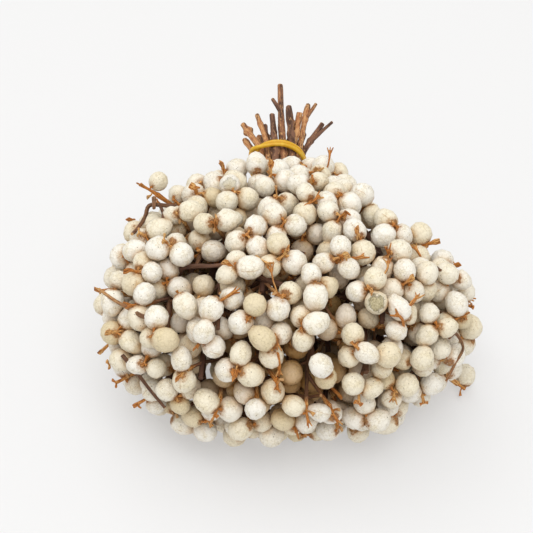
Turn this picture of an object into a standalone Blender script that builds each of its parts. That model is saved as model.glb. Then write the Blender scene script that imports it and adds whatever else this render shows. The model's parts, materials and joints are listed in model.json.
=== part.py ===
"""Tallow berry sprig: a bunch of dried branches of white tallow berries, tied with a rubber band.

The bunch lies on its lowest berries at z = 0. The head of berries points to -Y and the cut ends to +Y.
Lengths are in millimetres here and become metres where a mesh is made.
"""

import math

import bmesh
import bpy
import numpy as np
from mathutils import Matrix, Vector

MM = 0.001
SEED = 11
SPRIG_COUNT = 24

# the tie, where the stems are gathered
TIE_X = -3.0
TIE_Y = 61.5
TIE_Z = 44.0
BUNDLE_RADIUS = 8.3
STEM_RADII = (1.0, 1.5)
STEM_TIP_SHARE = 0.6
STEM_CLEARANCE = 0.45

# the head, a full rounded mass that narrows to a neck before the tie
HEAD_Z = 39.5
FRONT_Y = -50.0
WIDEST_Y = -6.0
NECK_Y = 49.0
HALF_WIDTH = 62.0
HALF_HEIGHT = 39.5
HALF_HEIGHT_BELOW = 43.5
FRONT_SHIFT = -3.0
RIGHT_SLOPE = 0.52
NECK_SHARE = 0.93
BACK_FULLNESS = 1.8
FRONT_FULLNESS = 2.05
SQUARENESS = 2.35

# berries and the twigs that carry them
BERRY_RADIUS = 3.9
BERRY_SPREAD = 0.10
BERRY_REACH = 4.35
BERRY_CLEARANCE = 0.45
TWIG_RADIUS = 0.75
OUTER_CLUSTERS = 165
INNER_CLUSTERS = 90
OUTER_DEPTH = 5.4
INNER_DEPTH = 14.5
LOWEST_TWIG_END = 4.8
RESTING_HEIGHT = 0.8
TWO_BERRY_DRAW = 0.62
ONE_BERRY_DRAW = 0.92
SAFE_GAP = 0.3

# cut ends seen from above: how far each leans sideways, reaches past the tie and rises, all from the tie
CUT_ENDS = (
    (-12.5, 17.9, 3.5),
    (-11.9, 14.6, -1.0),
    (-7.4, 20.3, 6.0),
    (-2.0, 16.7, 9.0),
    (1.0, 36.0, 7.0),
    (4.1, 21.2, 9.0),
    (7.8, 19.0, 8.0),
    (11.3, 29.7, 3.0),
    (16.5, 24.6, -2.0),
    (0.9, 22.0, 3.5),
    (5.2, 22.5, 1.5),
    (9.6, 18.5, -1.5),
    (-4.6, 19.5, 1.5),
)
# side shoots at the cut ends: which of the ends above, the share of its length where it leaves, its tip
SIDE_SHOOTS = (
    (2, 0.55, (-6.0, 20.0, 3.0)),
    (4, 0.55, (-1.8, 27.0, 8.0)),
    (7, 0.72, (14.2, 28.5, 4.5)),
    (8, 0.60, (20.1, 24.0, -0.5)),
)
SHORT_ENDS = (12.0, 18.0)

# hollows between the sprays, where the dark stems show: place and radius
HOLLOWS = (
    ((-28.0, -16.0, 76.0), 7.0),
    ((-6.5, -24.0, 76.5), 8.5),
    ((17.0, -32.0, 72.0), 8.0),
    ((10.0, -50.0, 47.0), 7.0),
)
# clusters that hang clear of the head: place of the twig's end, number of berries and their size
STRAYS = (
    ((-43.0, 20.0, 67.5), 1, 0.82),
    ((-57.5, 5.0, 33.0), 2, 1.0),
    ((58.7, -8.0, 4.5), 1, 1.0),
    ((-51.5, -8.0, 13.0), 1, 1.0),
    ((56.5, 10.0, 31.0), 2, 1.0),
    ((13.5, 43.0, 52.0), 3, 1.0),
    ((-50.5, 6.0, 52.0), 2, 1.0),
)
GOLDEN_ANGLE = math.pi * (3 - math.sqrt(5))

# the solids of the branches
STRAY_LAYER = 2
OUTER_CLUSTERS_BUILT = 128
BERRIES_A_CLUSTER = 2
BERRY_SWELL = 0.12
TWIG_SIDES = 3
TWIG_END_RADIUS = 1.3
TWIG_OVERRUN = 0.8
TWIG_SINK = 0.4
SHOOT_SHARES = (0.75, 0.55)
RESTING_TOLERANCE = 0.01
CURVE_WELD = 0.01

# the rubber band
BAND_INNER_RADIUS = 9.0
BAND_STRAND = 0.66
BAND_OFFSET = 0.76
BAND_POINTS = 20
BAND_CROSSING_TURN = 2.45
BAND_CROSSING = 0.35
BAND_TILT = 0.06


def girth(y):
    """The head's thickness at a place along the bunch, as a share of its widest."""
    front = np.clip((WIDEST_Y - y) / (WIDEST_Y - FRONT_Y), 0, 1)
    back = np.clip((y - WIDEST_Y) / (NECK_Y - WIDEST_Y), 0, 1) * NECK_SHARE
    front = (1 - front ** FRONT_FULLNESS) ** (1 / FRONT_FULLNESS)
    back = (1 - back ** BACK_FULLNESS) ** (1 / BACK_FULLNESS)
    return np.where(y < WIDEST_Y, front, back)


def middle_x(y):
    return FRONT_SHIFT * np.clip((WIDEST_Y - y) / (WIDEST_Y - FRONT_Y), 0, 1)


def middle_z(y):
    return HEAD_Z + (TIE_Z - HEAD_Z) * np.clip((y - WIDEST_Y) / (TIE_Y - WIDEST_Y), 0, 1)


def half_width(x, y):
    """The widest half-width on the side of x: the right shoulder slopes away more than the left."""
    back = np.clip((y - WIDEST_Y) / (NECK_Y - WIDEST_Y), 0, 1)
    return HALF_WIDTH * np.where(x > 0, 1 - RIGHT_SLOPE * back, 1.0)


def half_height(z):
    """The head's half-height on the side of z: below it sags under its own weight, down to the surface."""
    return np.where(z < 0, HALF_HEIGHT_BELOW, HALF_HEIGHT)


def skin_field(p):
    """Below zero inside the head, above zero outside."""
    side = p[:, 0] - middle_x(p[:, 1])
    rise = p[:, 2] - middle_z(p[:, 1])
    x = np.abs(side) / half_width(side, p[:, 1])
    z = np.abs(rise) / half_height(rise)
    return (x ** SQUARENESS + z ** SQUARENESS) ** (1 / SQUARENESS) - girth(p[:, 1])


def skin_points(count, rng):
    """Random points on the head's skin, even by area, with their outward normals."""
    tries = count * 4
    y = rng.uniform(FRONT_Y + 0.2, NECK_Y, tries)
    turn = rng.uniform(0, 2 * math.pi, tries)
    across, up = np.cos(turn), np.sin(turn)
    wide, high = half_width(across, y), half_height(up)
    reach = (np.abs(across) / wide) ** SQUARENESS + (np.abs(up) / high) ** SQUARENESS
    reach = reach ** (-1 / SQUARENESS) * girth(y)
    p = np.stack([middle_x(y) + reach * across, y, middle_z(y) + reach * up], 1)
    slope = np.stack([skin_field(p + e) - skin_field(p - e) for e in np.eye(3) * 0.01], 1)
    normal = slope / np.linalg.norm(slope, axis=1)[:, None]
    sideways = np.abs(normal[:, 0] * across + normal[:, 2] * up)
    weight = reach / np.maximum(sideways, 0.08)
    kept = rng.uniform(0, weight.max(), tries) < weight
    return p[kept][:count], normal[kept][:count]


def spread_out(points, count):
    """Picks points one by one, each as far as can be from those before it."""
    chosen = [0]
    gap = np.linalg.norm(points - points[0], axis=1)
    while len(chosen) < count:
        chosen.append(int(gap.argmax()))
        gap = np.minimum(gap, np.linalg.norm(points - points[chosen[-1]], axis=1))
    return chosen


def cluster_sites(count, depth, rng):
    """Ends of the twigs, spread evenly a certain depth under the skin, and the way out from each."""
    p, normal = skin_points(5000, rng)
    for place, radius in HOLLOWS:
        clear = np.linalg.norm(p - np.array(place), axis=1) > radius
        p, normal = p[clear], normal[clear]
    picked = spread_out(p, count)
    ends = p[picked] - normal[picked] * depth
    ends[:, 2] = np.maximum(ends[:, 2], LOWEST_TWIG_END)
    return ends, normal[picked]


def tie_layout(rng):
    """Where the stems cross the tie's plane, packed side by side in a round bundle, and their radii."""
    k = np.arange(SPRIG_COUNT)
    out = np.sqrt((k + 0.5) / SPRIG_COUNT) * BUNDLE_RADIUS
    p = np.stack([out * np.cos(k * GOLDEN_ANGLE), out * np.sin(k * GOLDEN_ANGLE)], 1)
    radii = rng.uniform(*STEM_RADII, SPRIG_COUNT)
    for _ in range(600):
        apart = p[:, None] - p[None]
        distance = np.linalg.norm(apart, axis=2) + np.eye(SPRIG_COUNT) * 99
        short = np.clip(radii[:, None] + radii[None] + STEM_CLEARANCE - distance, 0, None)
        p = p + (apart / distance[..., None] * short[..., None]).sum(1) * 0.25
        out = np.linalg.norm(p, axis=1)
        p = p * np.minimum(1, (BUNDLE_RADIUS - radii) / np.maximum(out, 0.001))[:, None]
    return p, radii


def cut_end_of_each(layout, rng):
    """The cut end of each stem, from the tie: those seen from above first, then short ends for the rest."""
    ends = {}
    for lean, reach, rise in CUT_ENDS:
        wish = np.array([np.clip(lean, -7.5, 7.5), np.clip(rise, -7.0, 7.0)])
        gap = np.linalg.norm(layout - wish, axis=1)
        gap[list(ends)] = 99
        ends[int(gap.argmin())] = (lean, reach, rise)
    for i, (x, z) in enumerate(layout):
        splay = rng.uniform(1.1, 1.5)
        reach = rng.uniform(*SHORT_ENDS)
        if i not in ends:
            ends[i] = (x * splay, reach, z * splay)
    return ends


def stem_path(place, end, rng):
    """Points of one stem, from its cut end through the tie and into the head."""
    tie = np.array([TIE_X, TIE_Y, TIE_Z])
    x, z = place
    lean, reach, rise = end
    turn = math.atan2(z, x)
    share = math.hypot(x, z) / BUNDLE_RADIUS
    end_x = 0.84 * share * HALF_WIDTH * math.cos(turn)
    end_z = 0.82 * share * HALF_HEIGHT * math.sin(turn)
    off = (abs(end_x / (HALF_WIDTH - 8)) ** 2.3 + abs(end_z / (HALF_HEIGHT - 7)) ** 2.3) ** (1 / 2.3)
    off = min(0.97, off)
    tip_y = WIDEST_Y - (WIDEST_Y - FRONT_Y - 9) * (1 - off ** 2.3) ** (1 / 2.3) + rng.uniform(-4, 4)
    bend = rng.uniform(-1, 1, 4)
    points = [
        tie + (lean, reach, rise),
        tie + (x + (lean - x) * 0.45, reach * 0.55, z + (rise - z) * 0.45),
        tie + (x * 1.04, 3.0, z * 1.04),
        tie + (x, 0, z),
    ]
    for y in np.linspace(TIE_Y - 7, tip_y, 8):
        t = (TIE_Y - y) / (TIE_Y - WIDEST_Y)
        opened = 0.5 - 0.5 * math.cos(math.pi * min(1, t))
        wave = min(1, t * 1.2) ** 2 * 2.0
        across = x + (end_x - x) * opened + wave * bend[0] * math.sin(3 * t + 6 * bend[1])
        up = z + (end_z - z) * opened + wave * bend[2] * math.sin(3 * t + 6 * bend[3])
        centre = TIE_X * (1 - opened) + float(middle_x(y))
        points.append(np.array([centre + across, y, float(middle_z(y)) + up]))
    return np.array(points)


def nearest(p, a, b):
    """The nearest points to each p on each stretch from a to b."""
    ab = b - a
    t = ((p[:, None] - a[None]) * ab[None]).sum(2) / (ab * ab).sum(1)[None]
    return a[None] + ab[None] * np.clip(t, 0, 1)[..., None]


def part_stems(paths, radii):
    """Moves the stems off each other, sideways, wherever two come too near."""
    count, length, _ = paths.shape
    owner = np.repeat(np.arange(count), length - 1)
    for _ in range(60):
        a = paths[:, :-1].reshape(-1, 3)
        b = paths[:, 1:].reshape(-1, 3)
        moves = np.zeros_like(paths)
        for t in (0.0, 0.33, 0.67, 1.0):
            p = a + (b - a) * t
            away = p[:, None] - nearest(p, a, b)
            distance = np.linalg.norm(away, axis=2) + 0.001
            short = radii[owner][:, None] + radii[owner][None] + STEM_CLEARANCE + 0.1 - distance
            short = np.where(owner[:, None] == owner[None], 0, np.clip(short, 0, None))
            push = (away / distance[..., None] * short[..., None]).sum(1) * 0.3
            push = push.reshape(count, length - 1, 3) * (1, 0, 1)
            moves[:, :-1] += push * (1 - t)
            moves[:, 1:] += push * t
        moves[:, 2:4] *= 0.2
        paths = paths + moves
    return paths


def grow_stems(rng):
    layout, radii = tie_layout(rng)
    ends = cut_end_of_each(layout, rng)
    paths = np.array([stem_path(layout[i], ends[i], rng) for i in range(SPRIG_COUNT)])
    paths = part_stems(paths, radii)
    shoots = []
    shown = list(ends)
    for number, share, tip in SIDE_SHOOTS:
        i = shown[number]
        start, near_tie = paths[i][0], paths[i][2]
        shoots.append((i, near_tie + (start - near_tie) * share, np.array([TIE_X, TIE_Y, TIE_Z]) + tip))
    return paths, radii, shoots


def twig_root(path, end, back):
    """The place on a stem, some way back towards the tie, where a twig to this end leaves it."""
    a, b = path[4:-1], path[5:]
    near = nearest(end[None], a, b)[0]
    k = int(np.linalg.norm(near - end, axis=1).argmin())
    here = near[k]
    for j in range(k + 4, 3, -1):
        step = here - path[j]
        length = float(np.linalg.norm(step))
        if length >= back:
            return here - step / length * back
        back -= length
        here = path[j]
    return here


def gap_to_stem(point, path):
    near = nearest(point[None], path[4:-1], path[5:])[0]
    return float(np.linalg.norm(near - point, axis=1).min())


def grow_clusters(paths, rng):
    """Twigs from the stems to the cluster sites. Each site hangs on the stem that passes nearest to it."""
    outer = cluster_sites(OUTER_CLUSTERS, OUTER_DEPTH, rng)
    inner = cluster_sites(INNER_CLUSTERS, INNER_DEPTH, rng)
    clusters = []
    for layer, (ends, normals) in enumerate((outer, inner)):
        for end, normal in zip(ends, normals):
            draw = rng.random()
            number = 3 - (draw > TWO_BERRY_DRAW) - (draw > ONE_BERRY_DRAW)
            clusters.append({"end": end, "normal": normal, "layer": layer, "number": number, "size": 1.0})
    for end, number, size in STRAYS:
        stray = {"end": np.array(end), "normal": None, "layer": 2, "number": number, "size": size}
        clusters.append(stray)
    for cluster in clusters:
        end, normal = cluster["end"], cluster["normal"]
        gaps = [gap_to_stem(end, p) for p in paths]
        i = int(np.argmin(gaps))
        root = twig_root(paths[i], end, min(9.0, 1.5 + 0.5 * gaps[i]))
        if normal is not None:
            side = root - end
            end = end + (side - normal * (side @ normal)) * 0.12
        way = (end - root) / np.linalg.norm(end - root)
        if normal is not None:
            way = way * 0.6 + normal * 0.5
        cluster.update(end=end, sprig=i, root=root, way=way / np.linalg.norm(way))
    return clusters


def grow_berries(clusters, rng):
    """First places of the berries, in a whorl round the end of each twig."""
    berries, radii, owners = [], [], []
    for c, cluster in enumerate(clusters):
        way = cluster["way"]
        helper = np.array([0, 0, 1.0]) if abs(way[2]) < 0.8 else np.array([1.0, 0, 0])
        right = np.cross(way, helper)
        right /= np.linalg.norm(right)
        up = np.cross(way, right)
        spin = rng.uniform(0, 2 * math.pi)
        for k in range(cluster["number"]):
            angle = spin + k * 2 * math.pi / 3 + rng.uniform(-0.15, 0.15)
            radii.append(BERRY_RADIUS * cluster["size"] * (1 + rng.uniform(-BERRY_SPREAD, BERRY_SPREAD)))
            out = (right * math.cos(angle) + up * math.sin(angle)) * 4.2
            berries.append(cluster["end"] + out + way * rng.uniform(-0.4, 1.8))
            owners.append(c)
    return np.array(berries), np.array(radii), np.array(owners)


def near_pairs(distance, need):
    """The pairs that could come to touch in the next few steps, and how far apart they must stay."""
    i, j = np.nonzero(distance < need + 4.0)
    return i, j, need[i, j]


def apart_from(p, q):
    d = p - q
    distance = np.sqrt((d * d).sum(1)) + 1e-6
    return d / distance[:, None], distance


def on_stretch(p, a, b):
    ab = b - a
    t = np.clip(((p - a) * ab).sum(1) / (ab * ab).sum(1), 0, 1)
    return a + ab * t[:, None]


def add_up(target, index, move):
    for axis in range(3):
        target[:, axis] += np.bincount(index, move[:, axis], len(target))


def settle(paths, stem_radii, clusters, b, r, owner, rounds=18, steps=14):
    """Lets the berries push each other, the twigs and the stems apart, and rest on the surface."""
    end = np.array([c["end"] for c in clusters])
    root = np.array([c["root"] for c in clusters])
    twig_sprig = np.array([c["sprig"] for c in clusters])
    sprig = twig_sprig[owner]
    home = end.copy()
    sa = paths[:, :-1].reshape(-1, 3)
    sb = paths[:, 1:].reshape(-1, 3)
    stem = np.repeat(np.arange(len(paths)), paths.shape[1] - 1)
    sr = stem_radii[stem]
    berry_berry = r[:, None] + r[None] + np.where(sprig[:, None] == sprig[None], -0.3, BERRY_CLEARANCE)
    berry_stem = r[:, None] + sr[None] + np.where(sprig[:, None] == stem[None], 0.1, BERRY_CLEARANCE)
    own = sprig[:, None] == twig_sprig[None]
    berry_twig = r[:, None] + TWIG_RADIUS + np.where(own, -0.1, BERRY_CLEARANCE)
    berry_twig[np.arange(len(b)), owner] = -99
    end_stem = sr[None] + np.where(twig_sprig[:, None] == stem[None], 2.6, 3.2)
    once = np.tril(np.full((len(b), len(b)), 99.0))
    for _ in range(rounds):
        bb = near_pairs(np.linalg.norm(b[:, None] - b[None], axis=2) + once, berry_berry)
        bs = near_pairs(np.linalg.norm(b[:, None] - nearest(b, sa, sb), axis=2), berry_stem)
        bt = near_pairs(np.linalg.norm(b[:, None] - nearest(b, root, end), axis=2), berry_twig)
        es = near_pairs(np.linalg.norm(end[:, None] - nearest(end, sa, sb), axis=2), end_stem)
        for _ in range(steps):
            i, j, need = bb
            way, distance = apart_from(b[i], b[j])
            move = way * (np.clip(need - distance, 0, None) * 0.36)[:, None]
            add_up(b, i, move)
            add_up(b, j, -move)
            i, j, need = bs
            way, distance = apart_from(b[i], on_stretch(b[i], sa[j], sb[j]))
            add_up(b, i, way * (np.clip(need - distance, 0, None) * 0.6)[:, None])
            i, j, need = bt
            way, distance = apart_from(b[i], on_stretch(b[i], root[j], end[j]))
            move = way * (np.clip(need - distance, 0, None) * 0.4)[:, None]
            add_up(b, i, move)
            add_up(end, j, -move * 0.3)
            i, j, need = es
            way, distance = apart_from(end[i], on_stretch(end[i], sa[j], sb[j]))
            add_up(end, i, way * (np.clip(need - distance, 0, None) * 0.3)[:, None])
            way, distance = apart_from(b, end[owner])
            move = way * (distance - BERRY_REACH)[:, None]
            b = b - move * 0.7
            add_up(end, owner, move * 0.2)
            end = end + (home - end) * 0.015
            b[:, 2] = np.maximum(b[:, 2], r)
    return b, end


def clear_berries(paths, stem_radii, clusters, b, r, owner, end):
    """Marks the berries to keep: one that still comes too near another sprig is left off."""
    root = np.array([c["root"] for c in clusters])
    twig_sprig = np.array([c["sprig"] for c in clusters])
    sprig = twig_sprig[owner]
    sa = paths[:, :-1].reshape(-1, 3)
    sb = paths[:, 1:].reshape(-1, 3)
    stem = np.repeat(np.arange(len(paths)), paths.shape[1] - 1)
    reach = r[:, None] + SAFE_GAP
    near_stem = np.linalg.norm(b[:, None] - nearest(b, sa, sb), axis=2) < reach + stem_radii[stem]
    near_twig = np.linalg.norm(b[:, None] - nearest(b, root, end), axis=2) < reach + TWIG_RADIUS
    near_berry = np.linalg.norm(b[:, None] - b[None], axis=2) < reach + r[None]
    near_stem &= sprig[:, None] != stem[None]
    near_twig &= sprig[:, None] != twig_sprig[None]
    near_berry &= sprig[:, None] != sprig[None]
    kept = ~(near_stem.any(1) | near_twig.any(1))
    for i in range(len(b)):
        if kept[i] and (near_berry[i] & kept).any():
            kept[i] = False
    return kept


def grow_bunch():
    """The whole bunch: stems, shoots at the cut ends, clusters and berries, centred on the origin."""
    rng = np.random.default_rng(SEED)
    paths, stem_radii, shoots = grow_stems(rng)
    clusters = grow_clusters(paths, rng)
    b, r, owner = grow_berries(clusters, rng)
    b, end = settle(paths, stem_radii, clusters, b, r, owner)
    b[:, 2] = np.where(b[:, 2] < r + RESTING_HEIGHT, r, b[:, 2])
    kept = clear_berries(paths, stem_radii, clusters, b, r, owner, end)
    b, r, owner = b[kept], r[kept], owner[kept]
    low = np.minimum((b - r[:, None]).min(0), paths[:, 0].min(0))
    high = np.maximum((b + r[:, None]).max(0), paths[:, 0].max(0))
    shift = np.array([-(low[0] + high[0]) / 2, -(low[1] + high[1]) / 2, 0])
    for c, cluster in enumerate(clusters):
        cluster["end"] = end[c] + shift
        cluster["root"] = cluster["root"] + shift
        cluster["berries"] = [(b[k] + shift, r[k]) for k in np.flatnonzero(owner == c)]
    shoots = [(i, base + shift, tip + shift) for i, base, tip in shoots]
    bunch = {"paths": paths + shift, "radii": stem_radii, "shoots": shoots, "clusters": clusters}
    return {**bunch, "shift": shift}


def to_metres(point):
    return Vector([float(v) * MM for v in point])


def new_object(name, mesh, collection):
    made = bpy.data.objects.new(name, mesh)
    collection.objects.link(made)
    return made


def mesh_of_curve(curve_object, name, collection):
    """The curve as a plain closed mesh in its place."""
    evaluated = curve_object.evaluated_get(bpy.context.evaluated_depsgraph_get())
    mesh = bpy.data.meshes.new_from_object(evaluated)
    shape = bmesh.new()
    shape.from_mesh(mesh)
    bmesh.ops.remove_doubles(shape, verts=shape.verts, dist=CURVE_WELD * MM)
    shape.to_mesh(mesh)
    shape.free()
    made = new_object(name, mesh, collection)
    made.matrix_world = curve_object.matrix_world
    curve = curve_object.data
    bpy.data.objects.remove(curve_object)
    bpy.data.curves.remove(curve)
    return made


def tube(name, path, radii, collection, closed=False):
    """A round tube through the points of a path, thick as the radii say."""
    curve = bpy.data.curves.new(name, "CURVE")
    curve.dimensions = "3D"
    curve.bevel_depth = MM
    curve.bevel_resolution = 1
    curve.use_fill_caps = not closed
    spline = curve.splines.new("POLY")
    spline.points.add(len(path) - 1)
    for spot, point, radius in zip(spline.points, path, radii):
        spot.co = (*to_metres(point), 1)
        spot.radius = float(radius)
    spline.use_cyclic_u = closed
    source = new_object(name + "_curve", curve, collection)
    return mesh_of_curve(source, name, collection)


def cone(name, start, end, start_radius, end_radius, collection):
    """A straight twig with flat sides."""
    start, end = to_metres(start), to_metres(end)
    shape = bmesh.new()
    bmesh.ops.create_cone(
        shape, cap_ends=True, segments=TWIG_SIDES, radius1=start_radius * MM, radius2=end_radius * MM,
        depth=(end - start).length,
    )
    turn = Vector((0, 0, 1)).rotation_difference(end - start).to_matrix().to_4x4()
    bmesh.ops.transform(shape, matrix=Matrix.Translation((start + end) / 2) @ turn, verts=shape.verts)
    mesh = bpy.data.meshes.new(name)
    shape.to_mesh(mesh)
    shape.free()
    return new_object(name, mesh, collection)


def berry(name, centre, radius, twig_end, collection):
    """A berry with twenty faces. One corner is sunk in the twig, or one face lies on the surface."""
    on_surface = rests(centre, radius)
    centre, twig_end = to_metres(centre), to_metres(twig_end)
    shape = bmesh.new()
    bmesh.ops.create_icosphere(shape, subdivisions=1, radius=(radius + BERRY_SWELL) * MM)
    if on_surface:
        turn = shape.faces[:][0].normal.rotation_difference(Vector((0, 0, -1)))
    else:
        turn = Vector((0, 0, 1)).rotation_difference(twig_end - centre)
    place = Matrix.Translation(centre) @ turn.to_matrix().to_4x4()
    bmesh.ops.transform(shape, matrix=place, verts=shape.verts)
    if on_surface:
        for corner in sorted(shape.verts, key=lambda vert: vert.co.z)[:3]:
            corner.co.z = 0
    mesh = bpy.data.meshes.new(name)
    shape.to_mesh(mesh)
    shape.free()
    return new_object(name, mesh, collection)


def fuse(body, limbs):
    """Joins everything in a collection to the body as one solid, and removes the collection."""
    union = body.modifiers.new("Union", "BOOLEAN")
    union.operation = "UNION"
    union.operand_type = "COLLECTION"
    union.collection = limbs
    union.solver = "EXACT"
    evaluated = body.evaluated_get(bpy.context.evaluated_depsgraph_get())
    joined = bpy.data.meshes.new_from_object(evaluated)
    body.modifiers.remove(union)
    body.data = joined
    for limb in list(limbs.objects):
        bpy.data.objects.remove(limb)
    bpy.data.collections.remove(limbs)


def keep_main_body(mesh):
    """Drops any scrap that the union left loose from the stem."""
    shape = bmesh.new()
    shape.from_mesh(mesh)
    unseen = set(shape.verts)
    bodies = []
    while unseen:
        body, edge_of_body = set(), [unseen.pop()]
        while edge_of_body:
            vert = edge_of_body.pop()
            body.add(vert)
            beside = {edge.other_vert(vert) for edge in vert.link_edges} & unseen
            unseen -= beside
            edge_of_body.extend(beside)
        bodies.append(body)
    bodies.sort(key=len)
    scraps = [vert for body in bodies[:-1] for vert in body]
    bmesh.ops.delete(shape, geom=scraps, context="VERTS")
    shape.to_mesh(mesh)
    shape.free()


def rests(centre, radius):
    """Whether a berry lies on the surface under the bunch."""
    return centre[2] < radius + RESTING_TOLERANCE


def outermost(bunch):
    """The berries that reach furthest to each side of the bunch: their cluster and place in it."""
    clusters = bunch["clusters"]
    places = [(k, j) for k, cluster in enumerate(clusters) for j in range(len(cluster["berries"]))]
    berries = [clusters[k]["berries"][j] for k, j in places]
    centres = np.array([centre for centre, _ in berries])
    sizes = np.array([[size] for _, size in berries])
    furthest = [*(centres + sizes).argmax(0), *(centres - sizes).argmin(0)]
    return {places[i] for i in furthest}


def outside_clusters(bunch, number, furthest):
    """The clusters of a sprig that lie outside or on the surface, and the ones that reach furthest.

    The first sites are already spread evenly.
    """
    edge_clusters = {k for k, _ in furthest}
    found = []
    for k, cluster in enumerate(bunch["clusters"]):
        outside = k < OUTER_CLUSTERS_BUILT or cluster["layer"] == STRAY_LAYER or k in edge_clusters
        resting = any(rests(*item) for item in cluster["berries"])
        if cluster["sprig"] == number and cluster["berries"] and (outside or resting):
            found.append((k, cluster))
    return found


def outside_berries(k, cluster, furthest):
    """The berries of a cluster that reach furthest, rest on the surface or lie nearest to the outside."""
    out = cluster["normal"] if cluster["normal"] is not None else cluster["way"]
    order = [
        ((k, j) not in furthest, not rests(centre, size), -float(centre @ out), j)
        for j, (centre, size) in enumerate(cluster["berries"])
    ]
    return [cluster["berries"][item[-1]] for item in sorted(order)[:BERRIES_A_CLUSTER]]


def sprig(number, bunch, furthest, collection, material):
    """One stem with its side shoot, its twigs and their berries, as one solid."""
    name = f"sprig_{number + 1:02d}"
    path, radius = bunch["paths"][number], bunch["radii"][number]
    taper = np.ones(len(path))
    taper[4:] = np.linspace(1.0, STEM_TIP_SHARE, len(path) - 4)
    body = tube(name, path, radius * taper, collection)
    limbs = bpy.data.collections.new(name + "_limbs")
    bpy.context.scene.collection.children.link(limbs)
    for stem, base, tip in bunch["shoots"]:
        if stem == number:
            cone(name + "_shoot", base, tip, radius * SHOOT_SHARES[0], radius * SHOOT_SHARES[1], limbs)
    for k, cluster in outside_clusters(bunch, number, furthest):
        root, end = cluster["root"], cluster["end"]
        way = (end - root) / np.linalg.norm(end - root)
        ends = (root - way * TWIG_SINK, end + way * TWIG_OVERRUN)
        cone(f"twig_{k}", *ends, TWIG_RADIUS, TWIG_END_RADIUS, limbs)
        for j, (centre, size) in enumerate(outside_berries(k, cluster, furthest)):
            berry(f"berry_{k}_{j}", centre, size, end, limbs)
    fuse(body, limbs)
    keep_main_body(body.data)
    body.data.materials.clear()
    body.data.materials.append(material)
    return body


def rubber_band(bunch, collection, material):
    """A band wound twice round the stems. Its two strands lie side by side and cross at the upper left."""
    centre = np.array([TIE_X, TIE_Y, TIE_Z]) + bunch["shift"]
    path = []
    steps = BAND_POINTS * 2
    for k in range(steps):
        turn = 4 * math.pi * k / steps
        lap, angle = divmod(turn, 2 * math.pi)
        crossing = 0.5 + 0.5 * math.tanh((angle - BAND_CROSSING_TURN) / BAND_CROSSING)
        roll = -math.pi / 2 + math.pi * (lap + crossing)
        out = BAND_INNER_RADIUS + BAND_STRAND + BAND_OFFSET * (abs(math.cos(roll)) + math.cos(roll))
        x, z = out * math.cos(angle), out * math.sin(angle)
        path.append(centre + (x, BAND_OFFSET * math.sin(roll) + BAND_TILT * z, z))
    band = tube("rubber_band", path, [BAND_STRAND] * steps, collection, closed=True)
    band.data.materials.append(material)
    band.data.shade_smooth()
    return band


def material(name, colour, roughness):
    made = bpy.data.materials.new(name)
    made.use_nodes = True
    shader = made.node_tree.nodes["Principled BSDF"]
    shader.inputs["Base Color"].default_value = (*colour, 1)
    shader.inputs["Roughness"].default_value = roughness
    shader.inputs["Metallic"].default_value = 0
    return made


def main():
    for old in list(bpy.data.objects):
        bpy.data.objects.remove(old)
    collection = bpy.data.collections.new("tallow_berry_sprig")
    bpy.context.scene.collection.children.link(collection)
    branch = material("dried branch and berries", (0.78, 0.73, 0.62), 0.7)
    rubber = material("rubber", (0.66, 0.38, 0.02), 0.55)
    bunch = grow_bunch()
    furthest = outermost(bunch)
    for number in range(SPRIG_COUNT):
        sprig(number, bunch, furthest, collection, branch)
    rubber_band(bunch, collection, rubber)


main()
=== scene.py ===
"""A tied bunch of dried tallow berry branches: the looks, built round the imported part.

The head of berries points to -Y and the cut ends to +Y. The growth rule works in millimetres, and its
lengths become metres where a mesh is made.
"""

import functools
import json
import math

import bmesh
import bpy
import numpy as np
from mathutils import Matrix, Vector

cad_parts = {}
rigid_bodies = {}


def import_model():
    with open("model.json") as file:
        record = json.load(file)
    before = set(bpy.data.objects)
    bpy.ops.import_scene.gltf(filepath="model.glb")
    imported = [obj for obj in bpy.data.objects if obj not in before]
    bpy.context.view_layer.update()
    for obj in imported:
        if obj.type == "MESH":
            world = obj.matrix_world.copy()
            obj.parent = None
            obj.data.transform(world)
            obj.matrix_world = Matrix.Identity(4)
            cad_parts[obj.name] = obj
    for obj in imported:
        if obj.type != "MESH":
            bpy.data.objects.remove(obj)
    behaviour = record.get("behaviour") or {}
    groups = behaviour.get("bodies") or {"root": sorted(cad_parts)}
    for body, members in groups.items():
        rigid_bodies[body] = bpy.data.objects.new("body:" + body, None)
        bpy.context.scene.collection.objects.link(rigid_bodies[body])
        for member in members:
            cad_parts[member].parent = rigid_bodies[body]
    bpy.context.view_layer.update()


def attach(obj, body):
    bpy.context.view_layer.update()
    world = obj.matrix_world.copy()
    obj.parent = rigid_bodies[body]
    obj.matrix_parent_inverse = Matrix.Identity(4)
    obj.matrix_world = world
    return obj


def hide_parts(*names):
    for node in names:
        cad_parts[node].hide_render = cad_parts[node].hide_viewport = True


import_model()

bl_info = {
    "name": "Tallow berry bunch",
    "version": (1, 0, 0),
    "blender": (4, 5, 0),
    "location": "View3D > Sidebar > Tallow berries",
    "description": "Grows a tied bunch of dried tallow berry branches and lights it on a pale floor",
    "category": "Object",
}

MM = 0.001
BODY = "root"

# The growth rule: the same values and steps as the solids were grown by
SEED = 11
SPRIG_COUNT = 24

# the tie, where the stems are gathered
TIE_X = -3.0
TIE_Y = 61.5
TIE_Z = 44.0
BUNDLE_RADIUS = 8.3
STEM_RADII = (1.0, 1.5)
STEM_TIP_SHARE = 0.6
STEM_CLEARANCE = 0.45

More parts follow.
